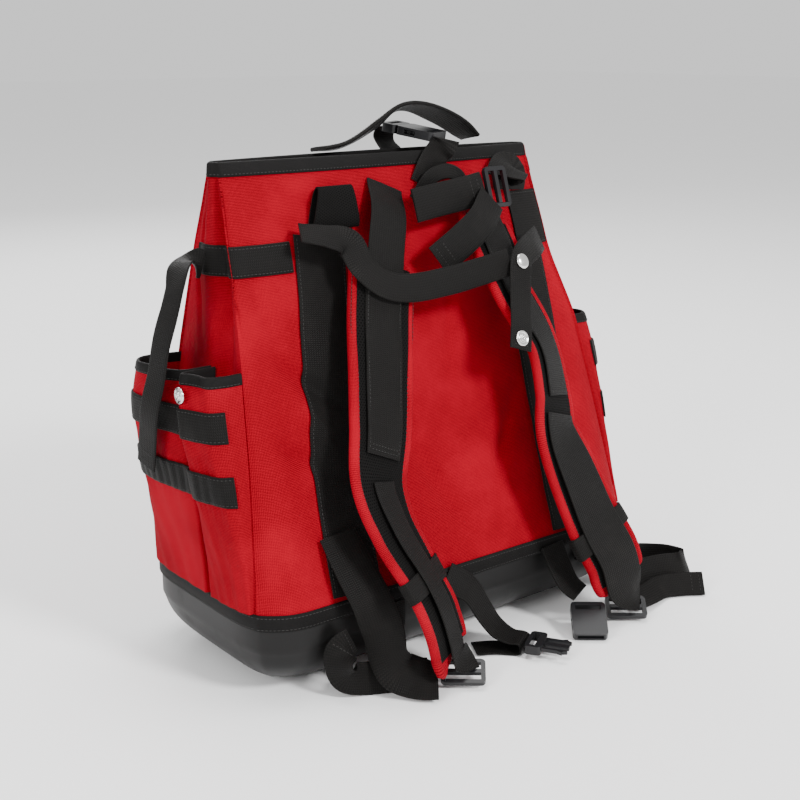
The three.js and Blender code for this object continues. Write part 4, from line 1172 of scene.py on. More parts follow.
def tube(
    name: str,
    rings: Grid,
    material: bpy.types.Material,
    weave: np.ndarray,
    degrees: float = 60.0,
) -> bpy.types.Object:
    """Makes a closed solid from rings of points joined in order.

    Args:
        name: its name.
        rings: one ring of points after another.
        material: its material.
        weave: a weave place for each ring and each of its points, and one more that closes the ring.
        degrees: edges that turn more than this are sharp.

    Returns:
        The object.
    """
    count, around = rings.shape[:2]
    closed = np.concatenate([rings, rings[:, :1]], axis=1)
    points = closed.reshape(-1, 3)
    step = around + 1
    faces: List[Tuple[int, ...]] = []
    for i in range(count - 1):
        for j in range(around):
            a = i * step + j
            faces.append((a, a + 1, a + step + 1, a + step))
    last = (count - 1) * step
    faces.append(tuple(range(around - 1, -1, -1)))
    faces.append(tuple(last + j for j in range(around)))
    made = mesh_object(name, points, faces, weave.reshape(-1, 2), material)
    weld(made)
    mark_edges(made, degrees)
    return made


def weld(made: bpy.types.Object) -> None:
    """Joins points of a mesh that lie at one place, and turns its faces outwards.

    Args:
        made: the object.
    """
    work = bmesh.new()
    work.from_mesh(made.data)
    bmesh.ops.remove_doubles(work, verts=work.verts, dist=1e-6)
    bmesh.ops.recalc_face_normals(work, faces=work.faces)
    work.to_mesh(made.data)
    work.free()
    made.data.update()


# The bag's surface


@dataclass(frozen=True)
class Plan:
    """The bag's plan at one height, in millimetres."""

    seam: float
    pinched: float
    back: float
    front: float
    drop: float
    spread: float
    fold: float


@dataclass
class Body:
    """The bag's outer face as one loop in plan at each height.

    The loop runs along the harness wall to the right, up the right side, back along the front wall and
    down the left side, so that its outside is on its right.
    """

    sizes: BagSizes
    wide_count: int = 104
    side_count: int = 52
    seam_dip: float = 1.5
    seam_reach: float = 3.2
    smoothing: int = 9
    soft_until: float = 112.0
    soft_reach: float = 34.0

    def __post_init__(self) -> None:
        """Spreads the columns, closer at the seams of the wide walls."""
        self.wide = np.sin(np.linspace(-math.pi / 2, math.pi / 2, self.wide_count + 1))
        self.side = np.linspace(-1.0, 1.0, self.side_count + 1)
        self.cache: Dict[float, np.ndarray] = {}

    def share(self, z: float) -> float:
        """The share of the cloth's height at a height."""
        return clamp((z - self.sizes.tray) / (self.sizes.height - self.sizes.tray))

    def plan(self, share: float) -> Plan:
        """The plan at a share of the cloth's height.

        Args:
            share: from 0 to 1.

        Returns:
            The plan.
        """
        size = self.sizes
        value = {name: read_table(BODY_SECTIONS, share, name) for name in Section._fields[1:]}
        ridge = lerp(size.width, size.mouth_width, value["narrow"]) / 2
        seam = ridge - size.ridge
        return Plan(
            seam=seam,
            pinched=seam - size.ridge * value["pinch"],
            back=lerp(-size.depth / 2, size.mouth_setback - size.mouth_gap / 2, value["lean"]),
            front=lerp(size.depth / 2, size.mouth_setback + size.mouth_gap / 2, value["close"]),
            drop=size.corner * value["round"],
            spread=value["spread"],
            fold=value["fold"],
        )

    def back_at(self, z: float) -> float:
        """How far back the harness wall stands at a height, away from its corners.

        Args:
            z: the height.

        Returns:
            Its Y.
        """
        share = self.share(z)
        size = self.sizes
        lean = read_table(BODY_SECTIONS, share, "lean", soft=False)
        return lerp(-size.depth / 2, size.mouth_setback - size.mouth_gap / 2, lean)

    def _dent(self, wall: Wall, across: np.ndarray, share: float) -> np.ndarray:
        """How far dents press a wall in.

        Args:
            wall: the wall.
            across: places across it.
            share: the share of its height.

        Returns:
            A depth for each place.
        """
        size = self.sizes
        rise = size.height - size.tray
        half = (size.width if wall in (Wall.BACK, Wall.FRONT) else size.depth) / 2
        depth = np.zeros_like(across)
        for dent in (*DENTS, *FINE_DENTS):
            if dent.wall != wall.value:
                continue
            sideways = (across - dent.across) * half / rise
            upward = share - dent.up
            turn = math.radians(dent.turn)
            lengthwise = upward * math.cos(turn) + sideways * math.sin(turn)
            crosswise = -upward * math.sin(turn) + sideways * math.cos(turn)
            fold = np.exp(-((lengthwise / dent.long) ** 2) - (crosswise / dent.wide) ** 2)
            depth = depth + dent.deep * size.ridge * fold
        fade = np.minimum(1.0, np.minimum(8 * min(share, 1 - share), 5 * (1 - np.abs(across))))
        seam = self.seam_dip * np.exp(-(((1 - np.abs(across)) * half / self.seam_reach) ** 2))
        ends = clamp(8 * share) * clamp(10 * (1 - share))
        ripple = 0.5 * np.sin(across * 9 + share * 17 + 1.3) * np.sin(share * 31 - across * 5)
        return depth * np.clip(fade, 0, 1) + seam * ends + ripple * ends * np.clip(fade, 0, 1)

    def _wall(self, wall: Wall, z: float) -> np.ndarray:
        """A wall's outer face in plan, from its left or rear seam.

        Args:
            wall: the wall.
            z: the height.

        Returns:
            Points, one row each.
        """
        share = self.share(z)
        plan = self.plan(share)
        if wall in (Wall.BACK, Wall.FRONT):
            across = self.wide
            beyond = np.maximum(0, np.abs(across) - (1 - plan.spread)) / plan.spread
            drop = plan.drop * beyond**2
            x = across * np.where(across < 0, plan.seam, plan.pinched)
            depth = self._dent(wall, across, share)
            y = plan.back + drop + depth if wall is Wall.BACK else plan.front - drop - depth
            return np.stack([x, y], axis=1)
        across = self.side
        rear, fore = plan.back + plan.drop, plan.front - plan.drop
        bulge = self.sizes.ridge * (1 - np.abs(across) ** plan.fold) - self._dent(wall, across, share)
        x = -plan.seam - bulge if wall is Wall.LEFT else plan.pinched + bulge
        return np.stack([x, (rear + fore) / 2 + across * (fore - rear) / 2], axis=1)

    def loop(self, z: float) -> np.ndarray:
        """The whole plan as a closed loop.

        Args:
            z: the height.

        Returns:
            Points, one row each, the first not repeated.
        """
        key = round(z, 2)
        if key not in self.cache:
            front, left = self._wall(Wall.FRONT, z)[::-1], self._wall(Wall.LEFT, z)[::-1]
            parts = [self._wall(Wall.BACK, z), self._wall(Wall.RIGHT, z), front, left]
            raw = np.concatenate([part[:-1] for part in parts])
            soft = raw
            for _ in range(self.smoothing):
                soft = (np.roll(soft, 1, axis=0) + soft * 2 + np.roll(soft, -1, axis=0)) / 4
            weight = clamp((self.soft_until - z) / self.soft_reach)
            self.cache[key] = raw * (1 - weight) + soft * weight
        return self.cache[key]

    def wall(self, wall: Wall, z: float) -> np.ndarray:
        """A wall of the loop, in the loop's order, with both its seams.

        Args:
            wall: the wall.
            z: the height.

        Returns:
            Points, one row each.
        """
        wide, side = self.wide_count, self.side_count
        start, count = {
            Wall.BACK: (0, wide),
            Wall.RIGHT: (wide, side),
            Wall.FRONT: (wide + side, wide),
            Wall.LEFT: (2 * wide + side, side),
        }[wall]
        loop = self.loop(z)
        return loop[(start + np.arange(count + 1)) % len(loop)]

    def at(self, wall: Wall, across: np.ndarray, z: float) -> np.ndarray:
        """Points of a wall at places across it.

        Args:
            wall: the wall.
            across: places from -1, at the left or rear seam, to 1. Beyond it the wall runs straight on.
            z: the height.

        Returns:
            Points, one row each.
        """
        line = self.wall(wall, z)
        if wall in (Wall.FRONT, Wall.LEFT):
            line = line[::-1]
        columns = self.wide if wall in (Wall.BACK, Wall.FRONT) else self.side
        inside = np.clip(across, -1, 1)
        points = np.stack([np.interp(inside, columns, line[:, k]) for k in range(2)], axis=1)
        points[:, 1] += (across - inside) * (line[-1, 1] - line[0, 1]) / 2
        return points

    def harness_y(self, x: np.ndarray, z: float) -> np.ndarray:
        """The Y of the harness wall's outer face."""
        line = self.wall(Wall.BACK, z)
        return np.interp(x, line[:, 0], line[:, 1])


def plan_normals(path: np.ndarray, closed: bool) -> np.ndarray:
    """Outward normals of a path in plan whose outside is on its right.

    Args:
        path: points, one row each.
        closed: whether it closes on itself.

    Returns:
        A normal for each point.
    """
    if closed:
        along = np.roll(path, -1, axis=0) - np.roll(path, 1, axis=0)
    else:
        along = np.gradient(path, axis=0)
    return unit(np.stack([along[:, 1], -along[:, 0]], axis=1))


PathAt = Callable[[float], np.ndarray]


def lengths_along(points: np.ndarray) -> np.ndarray:
    """The length from the first point to each point."""
    steps = np.linalg.norm(np.diff(points, axis=0), axis=1)
    return np.concatenate([[0.0], np.cumsum(steps)])


def band_profile(low: float, high: float, inside: float, outside: float, bow: float = 0.1) -> np.ndarray:
    """The section of a flat band with rounded edges that lies on a wall.

    Args:
        low: its lower edge.
        high: its upper edge.
        inside: how far its inner face stands off the path.
        outside: how far its outer face does.
        bow: how far its middle bows out.

    Returns:
        Rows of (out, z), going round.
    """
    wall = outside - inside
    ease = min(0.8, (high - low) / 4)
    rise = np.linspace(low + ease, high - ease, 7)
    bowed = outside + bow * (1 - ((rise - (low + high) / 2) / ((high - low) / 2)) ** 2)
    outer = [(out, z) for out, z in zip(bowed, rise)]
    edge_high = [(outside - wall * 0.2, high - ease * 0.3), (inside + wall * 0.4, high)]
    edge_low = [(inside + wall * 0.4, low), (outside - wall * 0.2, low + ease * 0.3)]
    inner = [(inside, z) for z in (high - ease, (low + high) / 2, low + ease)]
    return np.array(outer + edge_high + inner + edge_low)


def tape_profile(low: float, high: float, inside: float, outside: float, folded: bool) -> np.ndarray:
    """The section of a binding tape, folded over an edge or laid over a join.

    Args:
        low: its lower edge.
        high: its upper edge.
        inside: the inner face, negative for inwards.
        outside: the outer face.
        folded: whether its top is folded round.

    Returns:
        Rows of (out, z), going round.
    """
    middle = (inside + outside) / 2
    half = (outside - inside) / 2
    if not folded:
        return band_profile(low, high, inside, outside, 0.35)
    rise = np.linspace(low + 0.5, high - half, 5)
    swell = outside + 0.35 * np.sin(np.linspace(0.2, math.pi - 0.3, 5))
    outer = [(out, z) for out, z in zip(swell, rise)]
    turn = np.linspace(0, math.pi, 9)[1:-1]
    top = [(middle + half * math.cos(t), high - half + half * math.sin(t)) for t in turn]
    inner = [(inside, z) for z in rise[::-1]]
    low_edge = [(middle, low), (outside - 0.25, low + 0.1)]
    return np.array(outer + top + inner + low_edge)


def strip_on_path(
    name: str,
    path_at: PathAt,
    profile: np.ndarray,
    closed: bool,
    material: bpy.types.Material,
) -> bpy.types.Object:
    """Sweeps a section along a path in plan that depends on the height.

    Args:
        name: the object's name.
        path_at: gives the path at a height, its outside on its right.
        profile: rows of (out, z), going round.
        closed: whether the path closes on itself.
        material: the material.

    Returns:
        The object.
    """
    columns = []
    for out, z in profile:
        path = path_at(float(z))
        moved = path + plan_normals(path, closed) * out
        columns.append(np.concatenate([moved, np.full((len(moved), 1), z)], axis=1))
    rings = np.stack(columns, axis=1)
    if closed:
        rings = np.concatenate([rings, rings[:1]])
    run = lengths_along(rings[:, 0])
    around = lengths_along(np.concatenate([rings[0], rings[0][:1]]))
    along, across = np.meshgrid(run, around, indexing="ij")
    weave = np.stack([across, along], axis=-1)
    if not closed:
        return tube(name, rings, material, weave)
    outer = rings[:-1]
    ringed = np.concatenate([outer, outer[:, :1]], axis=1)
    return closed_sweep(name, ringed, weave, material)


def closed_sweep(name: str, rings: Grid, weave: np.ndarray, material: bpy.types.Material) -> bpy.types.Object:
    """Makes a ring-shaped solid whose section goes round and whose run closes on itself.

    Args:
        name: the object's name.
        rings: sections along the run, each closed by its first point, the first section not repeated.
        weave: weave places for the sections and one more that closes the run.
        material: the material.

    Returns:
        The object.
    """
    whole = np.concatenate([rings, rings[:1]])
    count, around = whole.shape[:2]
    faces = []
    for i in range(count - 1):
        for j in range(around - 1):
            a = i * around + j
            faces.append((a, a + 1, a + around + 1, a + around))
    made = mesh_object(name, whole.reshape(-1, 3), faces, weave.reshape(-1, 2), material)
    weld(made)
    mark_edges(made, 60)
    return made


# Straps


@dataclass
class StrapRoute:
    """A strap's middle line, with the way its face looks and its width runs at each place.

    Its stops are the rows of its table, and its steps the stations that the frame cuts it into.
    """

    body: Body
    stops: Sequence[Stop]
    steps: int

    def __post_init__(self) -> None:
        """Lays the route."""
        size = self.body.sizes
        points = []
        for stop in self.stops:
            z = stop.up * size.height
            points.append((stop.across * size.width / 2, self.body.back_at(z) - stop.out * size.depth, z))
        self.curve = Curve(points)

    def length_at(self, station: float) -> float:
        """The length from the start to a station."""
        knot = station / self.steps * (len(self.stops) - 1)
        return float(np.interp(knot, self.curve.knots, self.curve.lengths))

    def station_at(self, length: float) -> float:
        """The station at a length from the start."""
        knot = float(np.interp(length, self.curve.lengths, self.curve.knots))
        return knot / (len(self.stops) - 1) * self.steps

    def frame(self, length: float) -> Tuple[np.ndarray, np.ndarray, np.ndarray, np.ndarray]:
        """The frame at a length.

        Args:
            length: from the start, in millimetres.

        Returns:
            The middle, and the directions along, across and out of the face.
        """
        share = clamp(length / self.curve.length)
        knot = float(np.interp(length, self.curve.lengths, self.curve.knots))
        near = np.clip(knot + np.linspace(-0.3, 0.3, 7), 0, len(self.stops) - 1)
        rows = np.arange(len(self.stops))
        turn = math.radians(float(np.mean(np.interp(near, rows, [s.turn for s in self.stops]))))
        tilt = math.radians(float(np.mean(np.interp(near, rows, [s.tilt for s in self.stops]))))
        level = math.cos(tilt)
        look = np.array([math.sin(turn) * level, -math.cos(turn) * level, math.sin(tilt)])
        along = self.curve.tangent(share)
        across = unit(np.cross(look, along))
        return self.curve.at(share), along, across, unit(np.cross(along, across))

    def place(self, length: float, sideways: np.ndarray, outwards: np.ndarray) -> np.ndarray:
        """Points of a section."""
        middle, _, across, face = self.frame(length)
        return middle + np.outer(sideways, across) + np.outer(outwards, face)


def strap_section(half: float, wall: float, cup: float) -> Tuple[np.ndarray, np.ndarray]:
    """The section of flat webbing with rounded edges.

    Args:
        half: half its width.
        wall: its thickness.
        cup: how far its middle stands out.

    Returns:
        How far each point lies sideways and outwards, going round.
    """
    edge = wall * 0.5
    flat = np.linspace(-half + edge, half - edge, 9)
    rise = cup * (1 - (flat / half) ** 2)
    turn = np.linspace(-math.pi / 2, math.pi / 2, 5)[1:-1]
    beyond = half - edge + edge * np.cos(turn)
    side = np.concatenate([flat, beyond, flat[::-1], -beyond])
    out = np.concatenate([rise, edge + edge * np.sin(turn), rise[::-1] + wall, edge - edge * np.sin(turn)])
    return side, out


@dataclass(frozen=True)
class StrapSpec:
    """How one strap is made. Stations are those of the frame."""

    node: str
    width: float
    wall: float = 1.6
    lift: float = 0.0
    start_lift: Optional[float] = None
    start: float = 0.0
    end: Optional[float] = None
    end_width: Optional[float] = None
    cup: float = 0.35
    wave: float = 0.35
    step: float = 1.8


@dataclass
class Strap:
    """One strap of webbing along a route."""

    route: StrapRoute
    spec: StrapSpec
    rise_stations: float = 3.0
    tail_stations: float = 2.0

    def lift_at(self, station: float) -> float:
        """How far the inner face stands off the route.

        Args:
            station: where.

        Returns:
            The lift in millimetres.
        """
        spec = self.spec
        first = spec.lift if spec.start_lift is None else spec.start_lift
        risen = clamp((station - spec.start) / self.rise_stations)
        return lerp(first, spec.lift, risen * risen * (3 - 2 * risen))

    def half_at(self, station: float) -> float:
        """Half the width at a station.

        Args:
            station: where.

        Returns:
            Half the width.
        """
        spec = self.spec
        last = spec.width if spec.end_width is None else spec.end_width
        begin = self.route.steps - self.tail_stations
        return lerp(spec.width, last, clamp((station - begin) / self.tail_stations)) / 2

    def build(self, material: bpy.types.Material) -> bpy.types.Object:
        """Builds the strap.

        Args:
            material: its material.

        Returns:
            The object.
        """
        spec, route = self.spec, self.route
        end = route.steps if spec.end is None else spec.end
        low, high = route.length_at(spec.start), route.length_at(end)
        count = max(8, int((high - low) / spec.step))
        places = np.linspace(low, high, count + 1)
        rings, run = [], []
        for length in places:
            station = route.station_at(length)
            side, out = strap_section(self.half_at(station), spec.wall, spec.cup)
            near = min(length - low, high - length)
            ripple = spec.wave * math.sin(length / 11.0 + spec.width) * clamp(near / 20)
            rings.append(route.place(length, side, out + self.lift_at(station) + ripple))
            run.append(length)
        grid = np.array(rings)
        side, _ = strap_section(spec.width / 2, spec.wall, 0)
        across = np.append(side, side[0])
        along, wide = np.meshgrid(run, across, indexing="ij")
        return tube(spec.node, grid, material, np.stack([wide, along], axis=-1))


@dataclass
class Stitching:
    """Rows of machine stitches, gathered into one mesh."""

    name: str
    pitch: float = 3.4
    length: float = 2.5
    half_width: float = 0.28
    height: float = 0.36
    points: List[np.ndarray] = field(default_factory=list)
    faces: List[Tuple[int, ...]] = field(default_factory=list)

    def row(self, path: np.ndarray, normals: np.ndarray, lift: float = 0.0) -> None:
        """Sews along a path on a surface.

        Args:
            path: points of the path, one row each.
            normals: the surface's outward normal at each.
            lift: how far the thread stands off it.
        """
        run = lengths_along(path)
        for start in np.arange(self.pitch / 2, run[-1] - self.length, self.pitch):
            ends = [
                np.array([np.interp(at, run, path[:, k]) for k in range(3)])
                for at in (start, start + self.length / 2, start + self.length)
            ]
            normal = unit(np.array([np.interp(start, run, normals[:, k]) for k in range(3)]))
            along = unit(ends[2] - ends[0])
            side = unit(np.cross(along, normal)) * self.half_width
            base = sum(len(block) for block in self.points)
            sections = []
            for point, rise in zip(ends, (-0.1, self.height, -0.1)):
                centre = point + normal * (lift + rise)
                sections.append(centre - side - normal * 0.2)
                sections.append(centre)
                sections.append(centre + side - normal * 0.2)
            self.points.append(np.array(sections))
            for i in (0, 3):
                self.faces.append((base + i, base + i + 1, base + i + 4, base + i + 3))
                self.faces.append((base + i + 1, base + i + 2, base + i + 5, base + i + 4))
                self.faces.append((base + i + 2, base + i, base + i + 3, base + i + 5))
            self.faces.append((base, base + 2, base + 1))
            self.faces.append((base + 6, base + 7, base + 8))

    def on_strap(self, strap: Strap, length_low: float, length_high: float, sideways: float) -> None:
        """Sews lengthwise on a strap's outer face.

        Args:
            strap: the strap.
            length_low: where the row starts.
            length_high: where it ends.
            sideways: how far from its middle.
        """
        path, normals = [], []
        spec = strap.spec
        for length in np.linspace(length_low, length_high, max(3, int((length_high - length_low) / 4))):
            rise = strap.lift_at(strap.route.station_at(length)) + spec.wall
            rise += spec.cup * (1 - (2 * sideways / spec.width) ** 2)
            path.append(strap.route.place(length, np.array([sideways]), np.array([rise]))[0])
            normals.append(strap.route.frame(length)[3])
        self.row(np.array(path), np.array(normals))

    def across_strap(self, strap: Strap, length: float, half: float) -> None:
        """Sews across a strap's outer face.

        Args:
            strap: the strap.
            length: where along it.
            half: half the row's length.
        """
        spec = strap.spec
        side = np.linspace(-half, half, 9)
        rise = strap.lift_at(strap.route.station_at(length)) + spec.wall
        rise = rise + spec.cup * (1 - (2 * side / spec.width) ** 2)
        path = strap.route.place(length, side, rise)
        face = strap.route.frame(length)[3]
        self.row(path, np.repeat(face[None], len(side), axis=0))

    def build(self, material: bpy.types.Material) -> bpy.types.Object:
        """Builds all the stitches as one object."""
        return mesh_object(self.name, np.concatenate(self.points), self.faces, None, material)


# The sub-assemblies


@dataclass
class Bench:
    """What the sub-assemblies share: the frame, the bag's surface, the finishes and the seams."""

    frame: Dict[str, Any]
    body: Body
    finish: Finishes
    seams: Stitching

    def put(self, made: bpy.types.Object, slot: Slot, *nodes: str) -> None:
        """Ties a piece to the frame and reports it.

        Args:
            made: the piece, in place.
            slot: its material slot; not used.
            nodes: the frame's nodes it stands for.
        """
        if nodes:
            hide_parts(*nodes)
        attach(made, "root")
        LOG.info("piece %s", made.name)

    def sew(self, path_at: PathAt, z: float, out: float, closed: bool = False) -> None:
        """Sews level along a path in plan.

        Args:
            path_at: the path at a height.
            z: the height.
            out: how far the seam stands off the path.
            closed: whether the path comes back to its start.
        """
        path = path_at(z)
        if closed:
            path = np.concatenate([path, path[:1]])
        normals = plan_normals(path, False)
        points = np.concatenate([path + normals * out, np.full((len(path), 1), z)], axis=1)
        self.seams.row(points, np.concatenate([normals, np.zeros((len(path), 1))], axis=1))


def stacked(path_at: PathAt, heights: np.ndarray) -> np.ndarray:
    """The grid of points that a path in plan passes at a row of heights.

    Args:
        path_at: the path at a height.
        heights: the heights.

    Returns:
        The grid, a row for each height.
    """
    rows = []
    for z in heights:
        path = path_at(float(z))
        rows.append(np.concatenate([path, np.full((len(path), 1), z)], axis=1))
    return np.array(rows)


@dataclass
class ClothWalls:
    """The four walls of woven cloth."""

    bench: Bench
    rows: int = 116
    over_tray: float = 1.0
    under_rim: float = 2.5
    inside_turn: float = 0.3

    def build(self) -> None:
        """Builds each wall from the tray to the mouth."""
        body = self.bench.body
        size = body.sizes
        heights = np.linspace(size.tray + self.over_tray, size.height - self.under_rim, self.rows)
        for wall, node in (
            (Wall.BACK, "back_panel"),
            (Wall.FRONT, "front_panel"),
            (Wall.LEFT, "left_side_panel"),
            (Wall.RIGHT, "right_side_panel"),
        ):
            outer = stacked(partial(body.wall, wall), heights)
            inner = outer - grid_normals(outer) * (size.cloth - self.inside_turn)
            self.bench.put(sheet(f"{node}_cloth", outer, inner, self.bench.finish.cloth), Slot.CLOTH, node)


@dataclass
class MouldedTray:
    """The moulded tray under the bag."""

    bench: Bench
    lip_round: float = 1.2
    over_foot: float = 3.0
    under_lip: float = 4.0
    inner_share: float = 0.9
    crease_angle: float = 40.0

    def foot_ring(self, rim: np.ndarray, inset: float, z: float) -> np.ndarray:
        """A ring of the curved foot.

        Args:
            rim: the tray's rim in plan.
            inset: how far the ring lies inside the rim.
            z: its height.

        Returns:
            Its points.
        """
        size = self.bench.body.sizes
        wide, deep = 1 - inset / (size.width / 2), 1 - inset / (size.depth / 2)
        return np.stack([rim[:, 0] * wide, rim[:, 1] * deep, np.full(len(rim), z)], axis=1)

    def wall_ring(self, rim: np.ndarray, inset: float, z: float) -> np.ndarray:
        """A ring of the upright wall."""
        moved = rim - plan_normals(rim, True) * inset
        return np.concatenate([moved, np.full((len(rim), 1), z)], axis=1)

    def build(self) -> None:
        """Builds the tray, up its outside, over its lip and down its inside."""
        size = self.bench.body.sizes
        rim = self.bench.body.loop(size.tray)
        foot, wall = partial(self.foot_ring, rim), partial(self.wall_ring, rim)
        lip, middle = size.tray - self.lip_round, size.tray_wall / 2
        bend = Curve([(row.inset * size.foot_inset, row.up * size.foot_rise) for row in FOOT_PROFILE])
        rings = [foot(size.foot_inset, 0.0)]
        for share in np.linspace(0.02, 1, 26):
            inset, z = bend.at(share)
            rings.append(foot(max(0.0, float(inset)), max(0.0, float(z))))
        for z in np.linspace(size.foot_rise + self.over_foot, lip, 8):
            rings.append(wall(0.0, float(z)))
        for turn in np.linspace(0, math.pi, 7):
            rings.append(wall(middle - middle * math.cos(turn), lip + self.lip_round * math.sin(turn)))
        for z in np.linspace(size.tray - self.under_lip, size.foot_rise, 5):
            rings.append(wall(size.tray_wall, float(z)))
        for share in np.linspace(0.96, 0, 14):
            inset, z = bend.at(share)
            rings.append(foot(float(inset) + size.tray_wall * self.inner_share, float(z) + size.tray_floor))
        grid = np.array(rings)
        weave = np.zeros((grid.shape[0], grid.shape[1] + 1, 2))
        made = tube("moulded_tray", grid, self.bench.finish.tray, weave, self.crease_angle)
        self.bench.put(made, Slot.TRAY, "base_tray")


@dataclass
class BoundEdges:
    """The tapes round the mouth and over the tray's rim."""

    bench: Bench
    rim_seam: float = 2.0
    tray_seam: float = 2.2
    thread_lift: float = 0.2

    def build(self) -> None:
        """Builds both tapes and sews them."""
        bench, size = self.bench, self.bench.body.sizes
        loop, tape = bench.body.loop, bench.finish.tape
        foot, half = size.height - size.rim_height, size.tray_tape_height / 2
        rim = tape_profile(foot, size.height, -size.cloth, size.tape, True)
        bench.put(strip_on_path("mouth_tape", loop, rim, True, tape), Slot.WEBBING, "rim_binding")
        base = tape_profile(size.tray - half, size.tray + half, size.clear, size.clear + size.tape, False)
        bench.put(strip_on_path("tray_tape", loop, base, True, tape), Slot.WEBBING, "base_binding")
        bench.sew(loop, foot + self.rim_seam, size.tape + self.thread_lift, True)
        over = size.clear + size.tape + self.thread_lift + 0.1
        bench.sew(loop, size.tray - half + self.tray_seam, over, True)
        bench.sew(loop, size.tray + half - self.tray_seam, over, True)


@dataclass
class SidePockets:
    """The four pockets on the sides, with their tapes and the bands across them."""

    bench: Bench
    left_flare: float = 34.0
    right_flare: float = 23.0
    tuck: float = 0.10
    untuck: float = 3.0
    stand: float = 0.6
    clear: float = 2.0
    rows: int = 74
    columns: int = 84
    crease: float = 0.7
    gather: float = 0.5
    gather_at: float = 178.0
    gather_reach: float = 16.0
    upper_band: float = 216.0
    lower_band: float = 165.0
    band_width: float = 25.0
    band_seam: float = 2.2
    band_columns: int = 120
    tape_stand: float = 0.6
    tape_seam: float = 1.6

    @property
    def low(self) -> float:
        """The height of the pockets' lower edge."""
        size = self.bench.body.sizes
        return size.tray + size.tray_tape_height / 2 + size.clear

    def path(self, side: int, places: Sequence[PocketPlace], z: float, count: int = 0) -> np.ndarray:
        """A pocket's wall in plan.

        Args:
            side: -1 for the left side, 1 for the right.
            places: its plan.
            z: the height.
            count: how many points it has, or 0 for a pocket's own columns.

        Returns:
            Points, the wall's outside on their right.
        """
        count = count or self.columns
        size = self.bench.body.sizes
        wall, reach = (Wall.LEFT, self.left_flare) if side < 0 else (Wall.RIGHT, self.right_flare)
        share = clamp((z - self.low) / (size.pocket_top - self.low))
        flare = read_table(POCKET_PROFILE, share, "flare")
        points = []
        for place in places:
            tuck = self.tuck * (1 - min(1.0, self.untuck * flare)) if place.along > 1 else 0.0
            x, y = self.bench.body.at(wall, np.array([place.along - tuck]), z)[0]
            stand = self.stand
            if place.out != 0:
                stand = size.clear + size.pocket_wall + self.clear + place.out * flare * reach
            points.append((x + side * stand, y))
        curve = Curve(points, 10)
        run = np.linspace(0, 1, count)
        even = run * curve.length
        path = np.stack([np.interp(even, curve.lengths, curve.samples[:, k]) for k in range(2)], axis=1)
        if side < 0:
            path = path[::-1]
        fade = np.sin(run * math.pi) ** 0.5
        crease = self.crease * np.sin(run * 23 + z * 0.045 + side) * np.sin(z * 0.036 + run * 7)
        near = math.exp(-(((z - self.gather_at) / self.gather_reach) ** 2))
        gather = self.gather * np.sin(run * 96 + side) * near
        return path + plan_normals(path, False) * ((crease + gather) * fade)[:, None]

    def pocket(self, node: str, path_at: PathAt) -> None:
        """Builds one pocket with its tape.

        Args:
            node: the frame's node.
            path_at: its wall in plan.
        """
        bench, size = self.bench, self.bench.body.sizes
        top, foot = size.pocket_top, size.pocket_top - size.pocket_tape_height
        outer = stacked(path_at, np.linspace(self.low, top - 1.5, self.rows))
        inner = outer - grid_normals(outer) * size.pocket_wall
        bench.put(sheet(f"{node}_cloth", outer, inner, bench.finish.cloth), Slot.CLOTH, node)
        profile = tape_profile(foot, top, -size.pocket_wall - 0.4, self.tape_stand, True)
        made = strip_on_path(f"{node}_tape", path_at, profile, False, bench.finish.tape)
        bench.put(made, Slot.WEBBING, f"{node}_binding")
        bench.sew(path_at, foot + self.tape_seam, self.tape_stand + 0.4)

    def band(self, node: str, path_at: PathAt, foot: float) -> None:
        """Builds a band of webbing across the pockets.

        Args:
            node: the frame's node.
            path_at: its path in plan.
            foot: the height of its lower edge.
        """
        profile = band_profile(foot, foot + self.band_width, 0.5, 2.1, 0.3)
        made = strip_on_path(f"{node}_webbing", path_at, profile, False, self.bench.finish.webbing)
        self.bench.put(made, Slot.WEBBING, node)
        for z in (foot + self.band_seam, foot + self.band_width - self.band_seam):
            self.bench.sew(path_at, z, self.band_seam)

    def build(self) -> None:
        """Builds the pockets and bands of both sides."""
        bands = (*REAR_POCKET_PLAN[1:-1], *FRONT_POCKET_PLAN[3:-1])
        for side, word in ((-1, "left"), (1, "right")):
            self.pocket(f"{word}_rear_pocket", partial(self.path, side, REAR_POCKET_PLAN))
            self.pocket(f"{word}_front_pocket", partial(self.path, side, FRONT_POCKET_PLAN))
            band_at = partial(self.path, side, bands, count=self.band_columns)
            self.band(f"{word}_upper_pocket_band", band_at, self.upper_band)
            self.band(f"{word}_lower_pocket_band", band_at, self.lower_band)


class SideBand(NamedTuple):
    """A band round a rear corner: its node, side, ends along the walls, foot and width."""

    node: str
    side: int
    start: float
    end: float
    foot: float
    width: float


